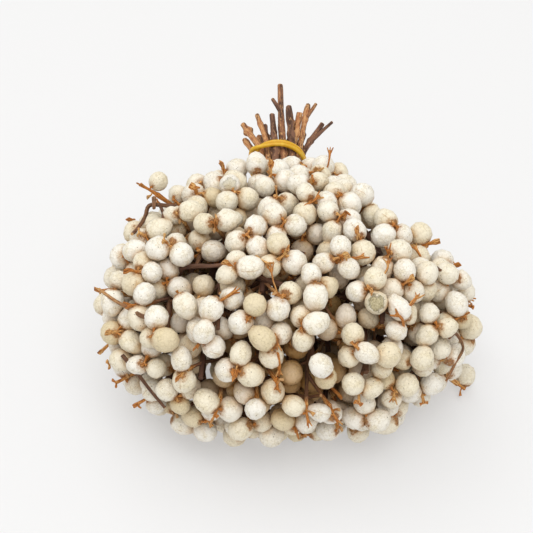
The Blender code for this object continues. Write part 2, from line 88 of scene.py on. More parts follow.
# the head, a full rounded mass that narrows to a neck before the tie
HEAD_Z = 39.5
FRONT_Y = -50.0
WIDEST_Y = -6.0
NECK_Y = 49.0
HALF_WIDTH = 62.0
HALF_HEIGHT = 39.5
HALF_HEIGHT_BELOW = 43.5
FRONT_SHIFT = -3.0
RIGHT_SLOPE = 0.52
NECK_SHARE = 0.93
BACK_FULLNESS = 1.8
FRONT_FULLNESS = 2.05
SQUARENESS = 2.35

# berries and the twigs that carry them
BERRY_RADIUS = 3.9
BERRY_SPREAD = 0.10
BERRY_REACH = 4.35
BERRY_CLEARANCE = 0.45
TWIG_RADIUS = 0.75
OUTER_CLUSTERS = 165
INNER_CLUSTERS = 90
OUTER_DEPTH = 5.4
INNER_DEPTH = 14.5
LOWEST_TWIG_END = 4.8
RESTING_HEIGHT = 0.8
TWO_BERRY_DRAW = 0.62
ONE_BERRY_DRAW = 0.92
SAFE_GAP = 0.3

# cut ends seen from above: how far each leans sideways, reaches past the tie and rises, all from the tie
CUT_ENDS = (
    (-12.5, 17.9, 3.5),
    (-11.9, 14.6, -1.0),
    (-7.4, 20.3, 6.0),
    (-2.0, 16.7, 9.0),
    (1.0, 36.0, 7.0),
    (4.1, 21.2, 9.0),
    (7.8, 19.0, 8.0),
    (11.3, 29.7, 3.0),
    (16.5, 24.6, -2.0),
    (0.9, 22.0, 3.5),
    (5.2, 22.5, 1.5),
    (9.6, 18.5, -1.5),
    (-4.6, 19.5, 1.5),
)
# side shoots at the cut ends: which of the ends above, the share of its length where it leaves, its tip
SIDE_SHOOTS = (
    (2, 0.55, (-6.0, 20.0, 3.0)),
    (4, 0.55, (-1.8, 27.0, 8.0)),
    (7, 0.72, (14.2, 28.5, 4.5)),
    (8, 0.60, (20.1, 24.0, -0.5)),
)
SHORT_ENDS = (12.0, 18.0)

# hollows between the sprays, where the dark stems show: place and radius
HOLLOWS = (
    ((-28.0, -16.0, 76.0), 7.0),
    ((-6.5, -24.0, 76.5), 8.5),
    ((17.0, -32.0, 72.0), 8.0),
    ((10.0, -50.0, 47.0), 7.0),
)
# clusters that hang clear of the head: place of the twig's end, number of berries and their size
STRAYS = (
    ((-43.0, 20.0, 67.5), 1, 0.82),
    ((-57.5, 5.0, 33.0), 2, 1.0),
    ((58.7, -8.0, 4.5), 1, 1.0),
    ((-51.5, -8.0, 13.0), 1, 1.0),
    ((56.5, 10.0, 31.0), 2, 1.0),
    ((13.5, 43.0, 52.0), 3, 1.0),
    ((-50.5, 6.0, 52.0), 2, 1.0),
)
GOLDEN_ANGLE = math.pi * (3 - math.sqrt(5))


def girth(y):
    """The head's thickness at a place along the bunch, as a share of its widest."""
    front = np.clip((WIDEST_Y - y) / (WIDEST_Y - FRONT_Y), 0, 1)
    back = np.clip((y - WIDEST_Y) / (NECK_Y - WIDEST_Y), 0, 1) * NECK_SHARE
    front = (1 - front ** FRONT_FULLNESS) ** (1 / FRONT_FULLNESS)
    back = (1 - back ** BACK_FULLNESS) ** (1 / BACK_FULLNESS)
    return np.where(y < WIDEST_Y, front, back)


def middle_x(y):
    return FRONT_SHIFT * np.clip((WIDEST_Y - y) / (WIDEST_Y - FRONT_Y), 0, 1)


def middle_z(y):
    return HEAD_Z + (TIE_Z - HEAD_Z) * np.clip((y - WIDEST_Y) / (TIE_Y - WIDEST_Y), 0, 1)


def half_width(x, y):
    """The widest half-width on the side of x: the right shoulder slopes away more than the left."""
    back = np.clip((y - WIDEST_Y) / (NECK_Y - WIDEST_Y), 0, 1)
    return HALF_WIDTH * np.where(x > 0, 1 - RIGHT_SLOPE * back, 1.0)


def half_height(z):
    """The head's half-height on the side of z: below it sags under its own weight, down to the surface."""
    return np.where(z < 0, HALF_HEIGHT_BELOW, HALF_HEIGHT)


def skin_field(p):
    """Below zero inside the head, above zero outside."""
    side = p[:, 0] - middle_x(p[:, 1])
    rise = p[:, 2] - middle_z(p[:, 1])
    x = np.abs(side) / half_width(side, p[:, 1])
    z = np.abs(rise) / half_height(rise)
    return (x ** SQUARENESS + z ** SQUARENESS) ** (1 / SQUARENESS) - girth(p[:, 1])


def skin_points(count, rng):
    """Random points on the head's skin, even by area, with their outward normals."""
    tries = count * 4
    y = rng.uniform(FRONT_Y + 0.2, NECK_Y, tries)
    turn = rng.uniform(0, 2 * math.pi, tries)
    across, up = np.cos(turn), np.sin(turn)
    wide, high = half_width(across, y), half_height(up)
    reach = (np.abs(across) / wide) ** SQUARENESS + (np.abs(up) / high) ** SQUARENESS
    reach = reach ** (-1 / SQUARENESS) * girth(y)
    p = np.stack([middle_x(y) + reach * across, y, middle_z(y) + reach * up], 1)
    slope = np.stack([skin_field(p + e) - skin_field(p - e) for e in np.eye(3) * 0.01], 1)
    normal = slope / np.linalg.norm(slope, axis=1)[:, None]
    sideways = np.abs(normal[:, 0] * across + normal[:, 2] * up)
    weight = reach / np.maximum(sideways, 0.08)
    kept = rng.uniform(0, weight.max(), tries) < weight
    return p[kept][:count], normal[kept][:count]


def spread_out(points, count):
    """Picks points one by one, each as far as can be from those before it."""
    chosen = [0]
    gap = np.linalg.norm(points - points[0], axis=1)
    while len(chosen) < count:
        chosen.append(int(gap.argmax()))
        gap = np.minimum(gap, np.linalg.norm(points - points[chosen[-1]], axis=1))
    return chosen


def cluster_sites(count, depth, rng):
    """Ends of the twigs, spread evenly a certain depth under the skin, and the way out from each."""
    p, normal = skin_points(5000, rng)
    for place, radius in HOLLOWS:
        clear = np.linalg.norm(p - np.array(place), axis=1) > radius
        p, normal = p[clear], normal[clear]
    picked = spread_out(p, count)
    ends = p[picked] - normal[picked] * depth
    ends[:, 2] = np.maximum(ends[:, 2], LOWEST_TWIG_END)
    return ends, normal[picked]


def tie_layout(rng):
    """Where the stems cross the tie's plane, packed side by side in a round bundle, and their radii."""
    k = np.arange(SPRIG_COUNT)
    out = np.sqrt((k + 0.5) / SPRIG_COUNT) * BUNDLE_RADIUS
    p = np.stack([out * np.cos(k * GOLDEN_ANGLE), out * np.sin(k * GOLDEN_ANGLE)], 1)
    radii = rng.uniform(*STEM_RADII, SPRIG_COUNT)
    for _ in range(600):
        apart = p[:, None] - p[None]
        distance = np.linalg.norm(apart, axis=2) + np.eye(SPRIG_COUNT) * 99
        short = np.clip(radii[:, None] + radii[None] + STEM_CLEARANCE - distance, 0, None)
        p = p + (apart / distance[..., None] * short[..., None]).sum(1) * 0.25
        out = np.linalg.norm(p, axis=1)
        p = p * np.minimum(1, (BUNDLE_RADIUS - radii) / np.maximum(out, 0.001))[:, None]
    return p, radii


def cut_end_of_each(layout, rng):
    """The cut end of each stem, from the tie: those seen from above first, then short ends for the rest."""
    ends = {}
    for lean, reach, rise in CUT_ENDS:
        wish = np.array([np.clip(lean, -7.5, 7.5), np.clip(rise, -7.0, 7.0)])
        gap = np.linalg.norm(layout - wish, axis=1)
        gap[list(ends)] = 99
        ends[int(gap.argmin())] = (lean, reach, rise)
    for i, (x, z) in enumerate(layout):
        splay = rng.uniform(1.1, 1.5)
        reach = rng.uniform(*SHORT_ENDS)
        if i not in ends:
            ends[i] = (x * splay, reach, z * splay)
    return ends


def stem_path(place, end, rng):
    """Points of one stem, from its cut end through the tie and into the head."""
    tie = np.array([TIE_X, TIE_Y, TIE_Z])
    x, z = place
    lean, reach, rise = end
    turn = math.atan2(z, x)
    share = math.hypot(x, z) / BUNDLE_RADIUS
    end_x = 0.84 * share * HALF_WIDTH * math.cos(turn)
    end_z = 0.82 * share * HALF_HEIGHT * math.sin(turn)
    off = (abs(end_x / (HALF_WIDTH - 8)) ** 2.3 + abs(end_z / (HALF_HEIGHT - 7)) ** 2.3) ** (1 / 2.3)
    off = min(0.97, off)
    tip_y = WIDEST_Y - (WIDEST_Y - FRONT_Y - 9) * (1 - off ** 2.3) ** (1 / 2.3) + rng.uniform(-4, 4)
    bend = rng.uniform(-1, 1, 4)
    points = [
        tie + (lean, reach, rise),
        tie + (x + (lean - x) * 0.45, reach * 0.55, z + (rise - z) * 0.45),
        tie + (x * 1.04, 3.0, z * 1.04),
        tie + (x, 0, z),
    ]
    for y in np.linspace(TIE_Y - 7, tip_y, 8):
        t = (TIE_Y - y) / (TIE_Y - WIDEST_Y)
        opened = 0.5 - 0.5 * math.cos(math.pi * min(1, t))
        wave = min(1, t * 1.2) ** 2 * 2.0
        across = x + (end_x - x) * opened + wave * bend[0] * math.sin(3 * t + 6 * bend[1])
        up = z + (end_z - z) * opened + wave * bend[2] * math.sin(3 * t + 6 * bend[3])
        centre = TIE_X * (1 - opened) + float(middle_x(y))
        points.append(np.array([centre + across, y, float(middle_z(y)) + up]))
    return np.array(points)


def nearest(p, a, b):
    """The nearest points to each p on each stretch from a to b."""
    ab = b - a
    t = ((p[:, None] - a[None]) * ab[None]).sum(2) / (ab * ab).sum(1)[None]
    return a[None] + ab[None] * np.clip(t, 0, 1)[..., None]


def part_stems(paths, radii):
    """Moves the stems off each other, sideways, wherever two come too near."""
    count, length, _ = paths.shape
    owner = np.repeat(np.arange(count), length - 1)
    for _ in range(60):
        a = paths[:, :-1].reshape(-1, 3)
        b = paths[:, 1:].reshape(-1, 3)
        moves = np.zeros_like(paths)
        for t in (0.0, 0.33, 0.67, 1.0):
            p = a + (b - a) * t
            away = p[:, None] - nearest(p, a, b)
            distance = np.linalg.norm(away, axis=2) + 0.001
            short = radii[owner][:, None] + radii[owner][None] + STEM_CLEARANCE + 0.1 - distance
            short = np.where(owner[:, None] == owner[None], 0, np.clip(short, 0, None))
            push = (away / distance[..., None] * short[..., None]).sum(1) * 0.3
            push = push.reshape(count, length - 1, 3) * (1, 0, 1)
            moves[:, :-1] += push * (1 - t)
            moves[:, 1:] += push * t
        moves[:, 2:4] *= 0.2
        paths = paths + moves
    return paths


def grow_stems(rng):
    layout, radii = tie_layout(rng)
    ends = cut_end_of_each(layout, rng)
    paths = np.array([stem_path(layout[i], ends[i], rng) for i in range(SPRIG_COUNT)])
    paths = part_stems(paths, radii)
    shoots = []
    shown = list(ends)
    for number, share, tip in SIDE_SHOOTS:
        i = shown[number]
        start, near_tie = paths[i][0], paths[i][2]
        shoots.append((i, near_tie + (start - near_tie) * share, np.array([TIE_X, TIE_Y, TIE_Z]) + tip))
    return paths, radii, shoots


def twig_root(path, end, back):
    """The place on a stem, some way back towards the tie, where a twig to this end leaves it."""
    a, b = path[4:-1], path[5:]
    near = nearest(end[None], a, b)[0]
    k = int(np.linalg.norm(near - end, axis=1).argmin())
    here = near[k]
    for j in range(k + 4, 3, -1):
        step = here - path[j]
        length = float(np.linalg.norm(step))
        if length >= back:
            return here - step / length * back
        back -= length
        here = path[j]
    return here


def gap_to_stem(point, path):
    near = nearest(point[None], path[4:-1], path[5:])[0]
    return float(np.linalg.norm(near - point, axis=1).min())


def grow_clusters(paths, rng):
    """Twigs from the stems to the cluster sites. Each site hangs on the stem that passes nearest to it."""
    outer = cluster_sites(OUTER_CLUSTERS, OUTER_DEPTH, rng)
    inner = cluster_sites(INNER_CLUSTERS, INNER_DEPTH, rng)
    clusters = []
    for layer, (ends, normals) in enumerate((outer, inner)):
        for end, normal in zip(ends, normals):
            draw = rng.random()
            number = 3 - (draw > TWO_BERRY_DRAW) - (draw > ONE_BERRY_DRAW)
            clusters.append({"end": end, "normal": normal, "layer": layer, "number": number, "size": 1.0})
    for end, number, size in STRAYS:
        stray = {"end": np.array(end), "normal": None, "layer": 2, "number": number, "size": size}
        clusters.append(stray)
    for cluster in clusters:
        end, normal = cluster["end"], cluster["normal"]
        gaps = [gap_to_stem(end, p) for p in paths]
        i = int(np.argmin(gaps))
        root = twig_root(paths[i], end, min(9.0, 1.5 + 0.5 * gaps[i]))
        if normal is not None:
            side = root - end
            end = end + (side - normal * (side @ normal)) * 0.12
        way = (end - root) / np.linalg.norm(end - root)
        if normal is not None:
            way = way * 0.6 + normal * 0.5
        cluster.update(end=end, sprig=i, root=root, way=way / np.linalg.norm(way))
    return clusters


def grow_berries(clusters, rng):
    """First places of the berries, in a whorl round the end of each twig."""
    berries, radii, owners = [], [], []
    for c, cluster in enumerate(clusters):
        way = cluster["way"]
        helper = np.array([0, 0, 1.0]) if abs(way[2]) < 0.8 else np.array([1.0, 0, 0])
        right = np.cross(way, helper)
        right /= np.linalg.norm(right)
        up = np.cross(way, right)
        spin = rng.uniform(0, 2 * math.pi)
        for k in range(cluster["number"]):
            angle = spin + k * 2 * math.pi / 3 + rng.uniform(-0.15, 0.15)
            radii.append(BERRY_RADIUS * cluster["size"] * (1 + rng.uniform(-BERRY_SPREAD, BERRY_SPREAD)))
            out = (right * math.cos(angle) + up * math.sin(angle)) * 4.2
            berries.append(cluster["end"] + out + way * rng.uniform(-0.4, 1.8))
            owners.append(c)
    return np.array(berries), np.array(radii), np.array(owners)


def near_pairs(distance, need):
    """The pairs that could come to touch in the next few steps, and how far apart they must stay."""
    i, j = np.nonzero(distance < need + 4.0)
    return i, j, need[i, j]


def apart_from(p, q):
    d = p - q
    distance = np.sqrt((d * d).sum(1)) + 1e-6
    return d / distance[:, None], distance


def on_stretch(p, a, b):
    ab = b - a
    t = np.clip(((p - a) * ab).sum(1) / (ab * ab).sum(1), 0, 1)
    return a + ab * t[:, None]


def add_up(target, index, move):
    for axis in range(3):
        target[:, axis] += np.bincount(index, move[:, axis], len(target))


def settle(paths, stem_radii, clusters, b, r, owner, rounds=18, steps=14):
    """Lets the berries push each other, the twigs and the stems apart, and rest on the surface."""
    end = np.array([c["end"] for c in clusters])
    root = np.array([c["root"] for c in clusters])
    twig_sprig = np.array([c["sprig"] for c in clusters])
    sprig = twig_sprig[owner]
    home = end.copy()
    sa = paths[:, :-1].reshape(-1, 3)
    sb = paths[:, 1:].reshape(-1, 3)
    stem = np.repeat(np.arange(len(paths)), paths.shape[1] - 1)
    sr = stem_radii[stem]
    berry_berry = r[:, None] + r[None] + np.where(sprig[:, None] == sprig[None], -0.3, BERRY_CLEARANCE)
    berry_stem = r[:, None] + sr[None] + np.where(sprig[:, None] == stem[None], 0.1, BERRY_CLEARANCE)
    own = sprig[:, None] == twig_sprig[None]
    berry_twig = r[:, None] + TWIG_RADIUS + np.where(own, -0.1, BERRY_CLEARANCE)
    berry_twig[np.arange(len(b)), owner] = -99
    end_stem = sr[None] + np.where(twig_sprig[:, None] == stem[None], 2.6, 3.2)
    once = np.tril(np.full((len(b), len(b)), 99.0))
    for _ in range(rounds):
        bb = near_pairs(np.linalg.norm(b[:, None] - b[None], axis=2) + once, berry_berry)
        bs = near_pairs(np.linalg.norm(b[:, None] - nearest(b, sa, sb), axis=2), berry_stem)
        bt = near_pairs(np.linalg.norm(b[:, None] - nearest(b, root, end), axis=2), berry_twig)
        es = near_pairs(np.linalg.norm(end[:, None] - nearest(end, sa, sb), axis=2), end_stem)
        for _ in range(steps):
            i, j, need = bb
            way, distance = apart_from(b[i], b[j])
            move = way * (np.clip(need - distance, 0, None) * 0.36)[:, None]
            add_up(b, i, move)
            add_up(b, j, -move)
            i, j, need = bs
            way, distance = apart_from(b[i], on_stretch(b[i], sa[j], sb[j]))
            add_up(b, i, way * (np.clip(need - distance, 0, None) * 0.6)[:, None])
            i, j, need = bt
            way, distance = apart_from(b[i], on_stretch(b[i], root[j], end[j]))
            move = way * (np.clip(need - distance, 0, None) * 0.4)[:, None]
            add_up(b, i, move)
            add_up(end, j, -move * 0.3)
            i, j, need = es
            way, distance = apart_from(end[i], on_stretch(end[i], sa[j], sb[j]))
            add_up(end, i, way * (np.clip(need - distance, 0, None) * 0.3)[:, None])
            way, distance = apart_from(b, end[owner])
            move = way * (distance - BERRY_REACH)[:, None]
            b = b - move * 0.7
            add_up(end, owner, move * 0.2)
            end = end + (home - end) * 0.015
            b[:, 2] = np.maximum(b[:, 2], r)
    return b, end


def clear_berries(paths, stem_radii, clusters, b, r, owner, end):
    """Marks the berries to keep: one that still comes too near another sprig is left off."""
    root = np.array([c["root"] for c in clusters])
    twig_sprig = np.array([c["sprig"] for c in clusters])
    sprig = twig_sprig[owner]
    sa = paths[:, :-1].reshape(-1, 3)
    sb = paths[:, 1:].reshape(-1, 3)
    stem = np.repeat(np.arange(len(paths)), paths.shape[1] - 1)
    reach = r[:, None] + SAFE_GAP
    near_stem = np.linalg.norm(b[:, None] - nearest(b, sa, sb), axis=2) < reach + stem_radii[stem]
    near_twig = np.linalg.norm(b[:, None] - nearest(b, root, end), axis=2) < reach + TWIG_RADIUS
    near_berry = np.linalg.norm(b[:, None] - b[None], axis=2) < reach + r[None]
    near_stem &= sprig[:, None] != stem[None]
    near_twig &= sprig[:, None] != twig_sprig[None]
    near_berry &= sprig[:, None] != sprig[None]
    kept = ~(near_stem.any(1) | near_twig.any(1))
    for i in range(len(b)):
        if kept[i] and (near_berry[i] & kept).any():
            kept[i] = False
    return kept


def grow_bunch():
    """The whole bunch: stems, shoots at the cut ends, clusters and berries, centred on the origin."""
    rng = np.random.default_rng(SEED)
    paths, stem_radii, shoots = grow_stems(rng)
    clusters = grow_clusters(paths, rng)
    b, r, owner = grow_berries(clusters, rng)
    b, end = settle(paths, stem_radii, clusters, b, r, owner)
    b[:, 2] = np.where(b[:, 2] < r + RESTING_HEIGHT, r, b[:, 2])
    kept = clear_berries(paths, stem_radii, clusters, b, r, owner, end)
    b, r, owner = b[kept], r[kept], owner[kept]
    low = np.minimum((b - r[:, None]).min(0), paths[:, 0].min(0))
    high = np.maximum((b + r[:, None]).max(0), paths[:, 0].max(0))
    shift = np.array([-(low[0] + high[0]) / 2, -(low[1] + high[1]) / 2, 0])
    for c, cluster in enumerate(clusters):
        cluster["end"] = end[c] + shift
        cluster["root"] = cluster["root"] + shift
        cluster["berries"] = [(b[k] + shift, r[k]) for k in np.flatnonzero(owner == c)]
    shoots = [(i, base + shift, tip + shift) for i, base, tip in shoots]
    bunch = {"paths": paths + shift, "radii": stem_radii, "shoots": shoots, "clusters": clusters}
    return {**bunch, "shift": shift}


def deep_clusters(bunch):
    """More clusters inside the head. A berry that would touch another one or a stem is left off."""
    rng = np.random.default_rng(SEED + 3)
    ends, _ = cluster_sites(DEEP_CLUSTERS, DEEP_DEPTH, rng)
    paths = bunch["paths"]
    taken = np.array([centre for c in bunch["clusters"] for centre, _ in c["berries"]])
    made = []
    for end in ends + bunch["shift"]:
        gaps = [gap_to_stem(end, p) for p in paths]
        i = int(np.argmin(gaps))
        root = twig_root(paths[i], end, min(DEEP_TWIG_LENGTH, 1.5 + 0.5 * gaps[i]))
        way = (end - root) / np.linalg.norm(end - root)
        cluster = {"end": end, "root": root, "sprig": i, "layer": DEEP_LAYER, "way": way, "berries": []}
        side = across(way, rng)
        other = np.cross(way, side)
        for k in range(SEEDS_A_FRUIT):
            turn = k * 2 * math.pi / SEEDS_A_FRUIT
            centre = end + (side * math.cos(turn) + other * math.sin(turn)) * BERRY_REACH + way
            clear = np.linalg.norm(taken - centre, axis=1).min() > 2 * BERRY_RADIUS
            clear = clear and min(gap_to_stem(centre, p) for p in paths) > BERRY_RADIUS + DEEP_STEM_GAP
            if clear:
                taken = np.vstack([taken, centre])
                cluster["berries"].append((centre, BERRY_RADIUS))
        made.append(cluster)
    return made


def across(way, rng):
    """A random direction square to a way."""
    side = np.cross(way, rng.normal(size=3))
    return side / np.linalg.norm(side)


@functools.lru_cache(maxsize=1)
def grown():
    """The bunch, grown once for all the operators."""
    bunch = grow_bunch()
    fallen = np.array(FALLEN_SEEDS) + bunch["shift"]
    for cluster in bunch["clusters"]:
        cluster["berries"] = [
            (centre, radius) for centre, radius in cluster["berries"]
            if np.linalg.norm(fallen - centre, axis=1).min() > SEED_NEAR
        ]
    bunch["outer"] = sum(len(cluster["berries"]) for cluster in bunch["clusters"])
    bunch["clusters"] = bunch["clusters"] + deep_clusters(bunch)
    berries = [item for c in bunch["clusters"] for item in c["berries"]]
    bunch["places"] = np.array([centre for centre, _ in berries])
    bunch["sizes"] = np.array([radius for _, radius in berries])
    return bunch


# Wood: how far apart the points along it are, what each point keeps, and how many sides it has
STRAND_STEP = 1.6
FINE_STEP = 0.8
STRAND_VALUES = ("thickness", "tone", "depth", "flat", "cut", "run")
CUT_EDGE = 0.15
STEM_SIDES = 14
TWIG_SIDES = 7
SHARP_ANGLE = math.radians(50)
# a strand's middle line stays this many times its radius above the surface
SURFACE_CLEARANCE = 1.3
CUT_TAPER = (0.78, 0.90)
# how much painted shade darkens a stem along it, from none at its cut end to all of it inside the head
STEM_DEPTHS = (0.0, 0.0, 0.0, 0.25, 0.9, 1.0, 1.0, 1.0)
KNOTS_A_STEM = (4, 9)
KNOT_PLACES = (2, 60)
KNOT_SWELL = 0.38
KNOT_LENGTH = 1.1
SHOOT_TAPER = (0.8, 0.6, 0.5)
TWIG_BOW = (0.15, 0.5)

# The kinds of thin strands: their radii, their tones from bark at 0 to bare stalk at 1, and their depths
# in the head, which set how much painted shade darkens them, from their first point to their last, and how
# flat they are
TWIG = {
    "radii": (0.85, 0.62, 0.58, 0.62, 0.66, 1.0), "tones": (0.1, 0.2, 0.45, 0.8), "depths": (0.9, 0.6, 0.2),
}
INNER_BRANCH = {"radii": (0.95, 0.7, 0.6, 0.55), "tones": (0.05, 0.2), "depths": (1.0, 0.8)}
COLUMN = {"radii": (0.85, 0.58, 0.46, 0.5, 0.6), "tones": (0.7, 1.0), "depths": (0.3, 0.0)}
PADDLE = {"radii": (0.42, 0.75, 1.25, 1.1), "tones": (1.0, 0.8, 1.0), "flat": 0.78}
HOOK = {"radii": (0.5, 0.6, 0.35), "tones": (0.9, 1.0), "flat": 0.6}
CROSSBAR = {"radii": (0.85, 0.5, 0.55, 0.5, 0.8), "tones": (1.0, 0.8, 1.0), "flat": 0.45}
FIBRE = {"radii": (0.4, 0.46, 0.3), "tones": (0.9, 0.7, 1.0), "flat": 0.45}
SEED_STALK = {"radii": (0.5, 0.4, 0.85), "tones": (0.9, 1.0), "depths": (0.1,), "flat": 0.35}
BARE_STALK = {"radii": (0.5, 0.42, 0.95), "tones": (0.9, 1.0), "depths": (0.1,), "flat": 0.5}

# Berries. Each form is a seed of radius 1
BERRY_CELLS = 3
BERRY_FORMS = (
    {"length": 1.00, "point": 0.00, "flat": 0.02, "wedge": 0.00},
    {"length": 1.06, "point": 0.05, "flat": 0.10, "wedge": 0.04},
    {"length": 1.10, "point": 0.12, "flat": 0.10, "wedge": 0.10},
    {"length": 0.97, "point": 0.00, "flat": 0.14, "wedge": 0.03},
    {"length": 1.08, "point": 0.30, "flat": 0.22, "wedge": 0.22},
    {"length": 1.12, "point": 0.02, "flat": 0.06, "wedge": 0.00},
)
FORM_SHARES = (0.26, 0.22, 0.17, 0.15, 0.09, 0.11)
# how wide a point is at the far end, how much it narrows the seed, how much a wedge broadens its thick
# side, and how much a longer seed is slimmer
POINT_WIDTH = 0.30
POINT_NARROWING = 0.45
WEDGE_BROADENING = 0.5
LENGTH_SLIMMING = 0.3
SEEDS_A_FRUIT = 3
SEED_SWING = 0.15
# how much painted shade darkens the seeds of each layer: outer, inner, hanging clear, deep
LAYER_SHADES = (0.0, 0.08, 0.0, 0.5)

# What is left of a fruit: its middle column, whole or broken off short, and a stalk to each seed. It is
# broken where the cluster starts lower than LOW_CLUSTERS, and where the tip would come too near a seed
HILUM_HEIGHT = 3.6
SEAT_DEPTH = 0.25
STALK_BELOW_TIP = 0.8
COLUMN_LENGTHS = (4.4, 7.0)
COLUMN_LEAN = 1.3
COLUMN_STEP = 1.2
BROKEN_COLUMN = 3.2
WHOLE_COLUMNS = 0.72
LOW_CLUSTERS = 27.0
TIP_REACH = (0.0, 1.5, 3.0)
TIP_CLEARANCE = 0.5
BARE_STALK_STEP = 0.9
# shares of the tips: a paddle, a crossbar, split fibres
TIP_SHARES = (0.48, 0.27, 0.25)
PADDLE_LENGTHS = (1.6, 2.8)
PADDLE_SWAY = 1.2
PADDLE_STEP = 0.7
HOOK_SHARE = 0.5
HOOK_WIDTH = 1.9
HOOK_DROPS = (0.0, 0.9)
CROSSBAR_LIFTS = (0.1, 0.7)
CROSSBAR_FAR = (1.3, 2.1)
CROSSBAR_NEAR = (0.9, 1.7)
CROSSBAR_STEP = 0.6
FLARE_FIBRES = (2, 4)
FIBRE_SWINGS = (0.8, 1.5)
FIBRE_SWAY = 0.5
FIBRE_LENGTHS = (0.4, 1.9)

# seeds that have fallen off and left dark hollows: their places before the bunch is shifted, and how near
# to a place its seed lies
FALLEN_SEEDS = ((-6, -26, 71), (-4, -15, 63), (-1, -10, 68), (-28, -3, 58))
SEED_NEAR = 1.0

# seeds with a broken, rough or pointed coat: the place before the bunch is shifted, how broken the coat
# is, and the form. The broken end of such a seed faces up and forward
MARKED_SEEDS = (
    ((27, -28, 66), 0.85, 0),
    ((-19, 20, 73), 0.5, 0),
    ((-28, -32, 59), 0.0, 4),
)
MARK_FACES = (0.0, -0.7, 0.7)

# painted shade on the seeds: how near a neighbour brings it, in millimetres, and how strong it is there;
# then between which levels of skin_field under the head's skin it grows, and how strong it gets
NOOK_WIDTH = 0.75
NOOK_SHARE = 0.85
DEEP_SHADE_DEPTHS = (0.16, 0.50)
DEEP_SHADE_SHARE = 0.85

# The camera: its height over the surface, its distance in millimetres, its lens, and the width of the
# picture in pixels. The point that it looks at is in millimetres before the bunch is shifted
CAMERA_HEIGHT = math.radians(45)
CAMERA_DISTANCE = 560.0
LENS_LENGTH = 115.4
SENSOR_WIDTH = 36.0
PICTURE_WIDTH = 533
LOOK_AT = (-7.0, 0.6, 53.5)
CAMERA_BACK = np.array([0, -math.cos(CAMERA_HEIGHT), math.sin(CAMERA_HEIGHT)])

# Dark twigs that show between the seeds: their picture points, how far their middle line lies before the
# middles of the seeds round it, and the radii, tones and depths along them, the depths setting how much
# painted shade darkens them
SHOWN_TWIGS = (
    (((176, 207), (160, 205), (149, 206), (145, 217), (138, 228), (132, 234)), 5.0,
     (0.8, 0.7, 0.55), (0.1, 0.1), (0.9, 0.7)),
    (((154, 208), (154, 198)), 5.0, (0.6, 0.8), (0.15, 0.3), (0.8, 0.6)),
    (((160, 205), (163, 213), (163, 222)), 4.0, (0.6, 0.5, 0.65), (0.2, 0.3), (0.6, 0.5)),
    (((176, 279), (183, 268), (196, 266), (210, 266), (224, 265), (236, 266), (250, 262)), 0.5,
     (1.0, 0.9, 0.75, 0.6, 0.8), (0.05, 0.05, 0.3, 0.9), (1.0, 0.8, 0.2)),
    (((196, 266), (200, 256), (204, 247)), -2.0, (0.7, 0.6), (0.1, 0.2), (0.9, 0.8)),
    (((252, 270), (266, 280), (278, 284), (290, 289), (304, 296)), 0.5,
     (1.0, 1.2, 1.1, 0.9), (0.1, 0.3, 0.1), (0.9, 0.6, 0.8)),
    (((99, 289), (114, 300), (132, 310), (142, 316), (155, 318)), 7.5,
     (0.5, 0.6, 0.75, 0.8), (0.5, 0.15), (0.4, 0.9)),
    (((122, 355), (136, 372), (150, 390), (165, 408)), 6.0, (0.7, 0.6, 0.5), (0.1, 0.2), (0.9, 0.8)),
    (((432, 264), (443, 272), (456, 280)), 5.0, (0.5, 0.45, 0.4), (0.0, 0.0), (0.9, 0.8)),
    (((449, 338), (456, 334), (463, 348), (455, 364), (446, 381)), 8.0,
     (0.5, 0.5, 0.4), (0.1, 0.3), (0.8, 0.5)),
)
# Pale torn stalks that lie on the seeds: their picture points, the radii, tones and depths along them,
# the depths setting how much painted shade darkens them, and how flat they are
SHOWN_STALKS = (
    (((271, 268), (273, 280), (277, 292), (280, 301)), (0.45, 0.35, 0.4), (0.9, 1.0), (0.1,), 0.3),
    (((255, 255), (262, 261), (269, 265)), (0.5, 0.6, 0.9), (0.7, 1.0), (0.2,), 0.3),
    (((236, 291), (222, 300), (207, 309)), (0.95, 0.5, 0.75), (1.0, 0.9), (0.0,), 0.4),
    (((274, 329), (276, 338), (277, 347)), (0.5, 0.55, 0.95), (0.9, 1.0), (0.1,), 0.5),
    (((278, 353), (279, 363), (279, 373)), (0.7, 0.95, 0.7), (1.0, 1.0), (0.0,), 0.6),
    (((303, 214), (304, 206), (312, 202), (319, 196)), (0.5, 0.55, 0.5, 0.95), (0.8, 1.0), (0.1,), 0.35),
    (((352, 258), (358, 258), (364, 256)), (0.6, 0.6, 0.8), (1.0, 1.0), (0.0,), 0.4),
    (((388, 261), (387, 270), (378, 281)), (0.7, 0.45, 0.4), (0.9, 0.8), (0.1,), 0.3),
    (((415, 247), (421, 257)), (0.8, 0.5), (0.9, 0.8), (0.1,), 0.4),
    (((406, 311), (412, 303), (418, 296)), (0.5, 1.1, 0.8), (0.9, 1.0), (0.0,), 0.6),
    (((396, 314), (402, 319), (404, 328)), (0.45, 0.5, 0.4), (0.9, 0.8), (0.1,), 0.2),
    (((327, 169), (329, 161), (330, 151)), (0.6, 0.6, 1.1), (0.8, 1.0), (0.1,), 0.5),
)
# The seeds round a twig are those this near to it across the view, and this deep behind the first of
# them; the depth of the layer is taken from a few. A stalk lies a little over the seeds, bends over a step
# between them no more than its rise, and its thin end goes down between them
TWIG_ROOM = 7.2
LAYER_DEPTH = 16.0
LAYER_SEEDS = 5
STALK_LIFT = 0.6
STALK_RISE = 4.0
STALK_SINK = 2.6
SHOWN_STEP = 1.0

# a twig of fewer picture points than this keeps a straight row of depths
BENT_TWIG_POINTS = 4

# Clusters deep inside the head, which only show through the gaps
DEEP_CLUSTERS = 75
DEEP_DEPTH = 23.0
DEEP_LAYER = 3
DEEP_TWIG_LENGTH = 9.0
DEEP_STEM_GAP = 1.5

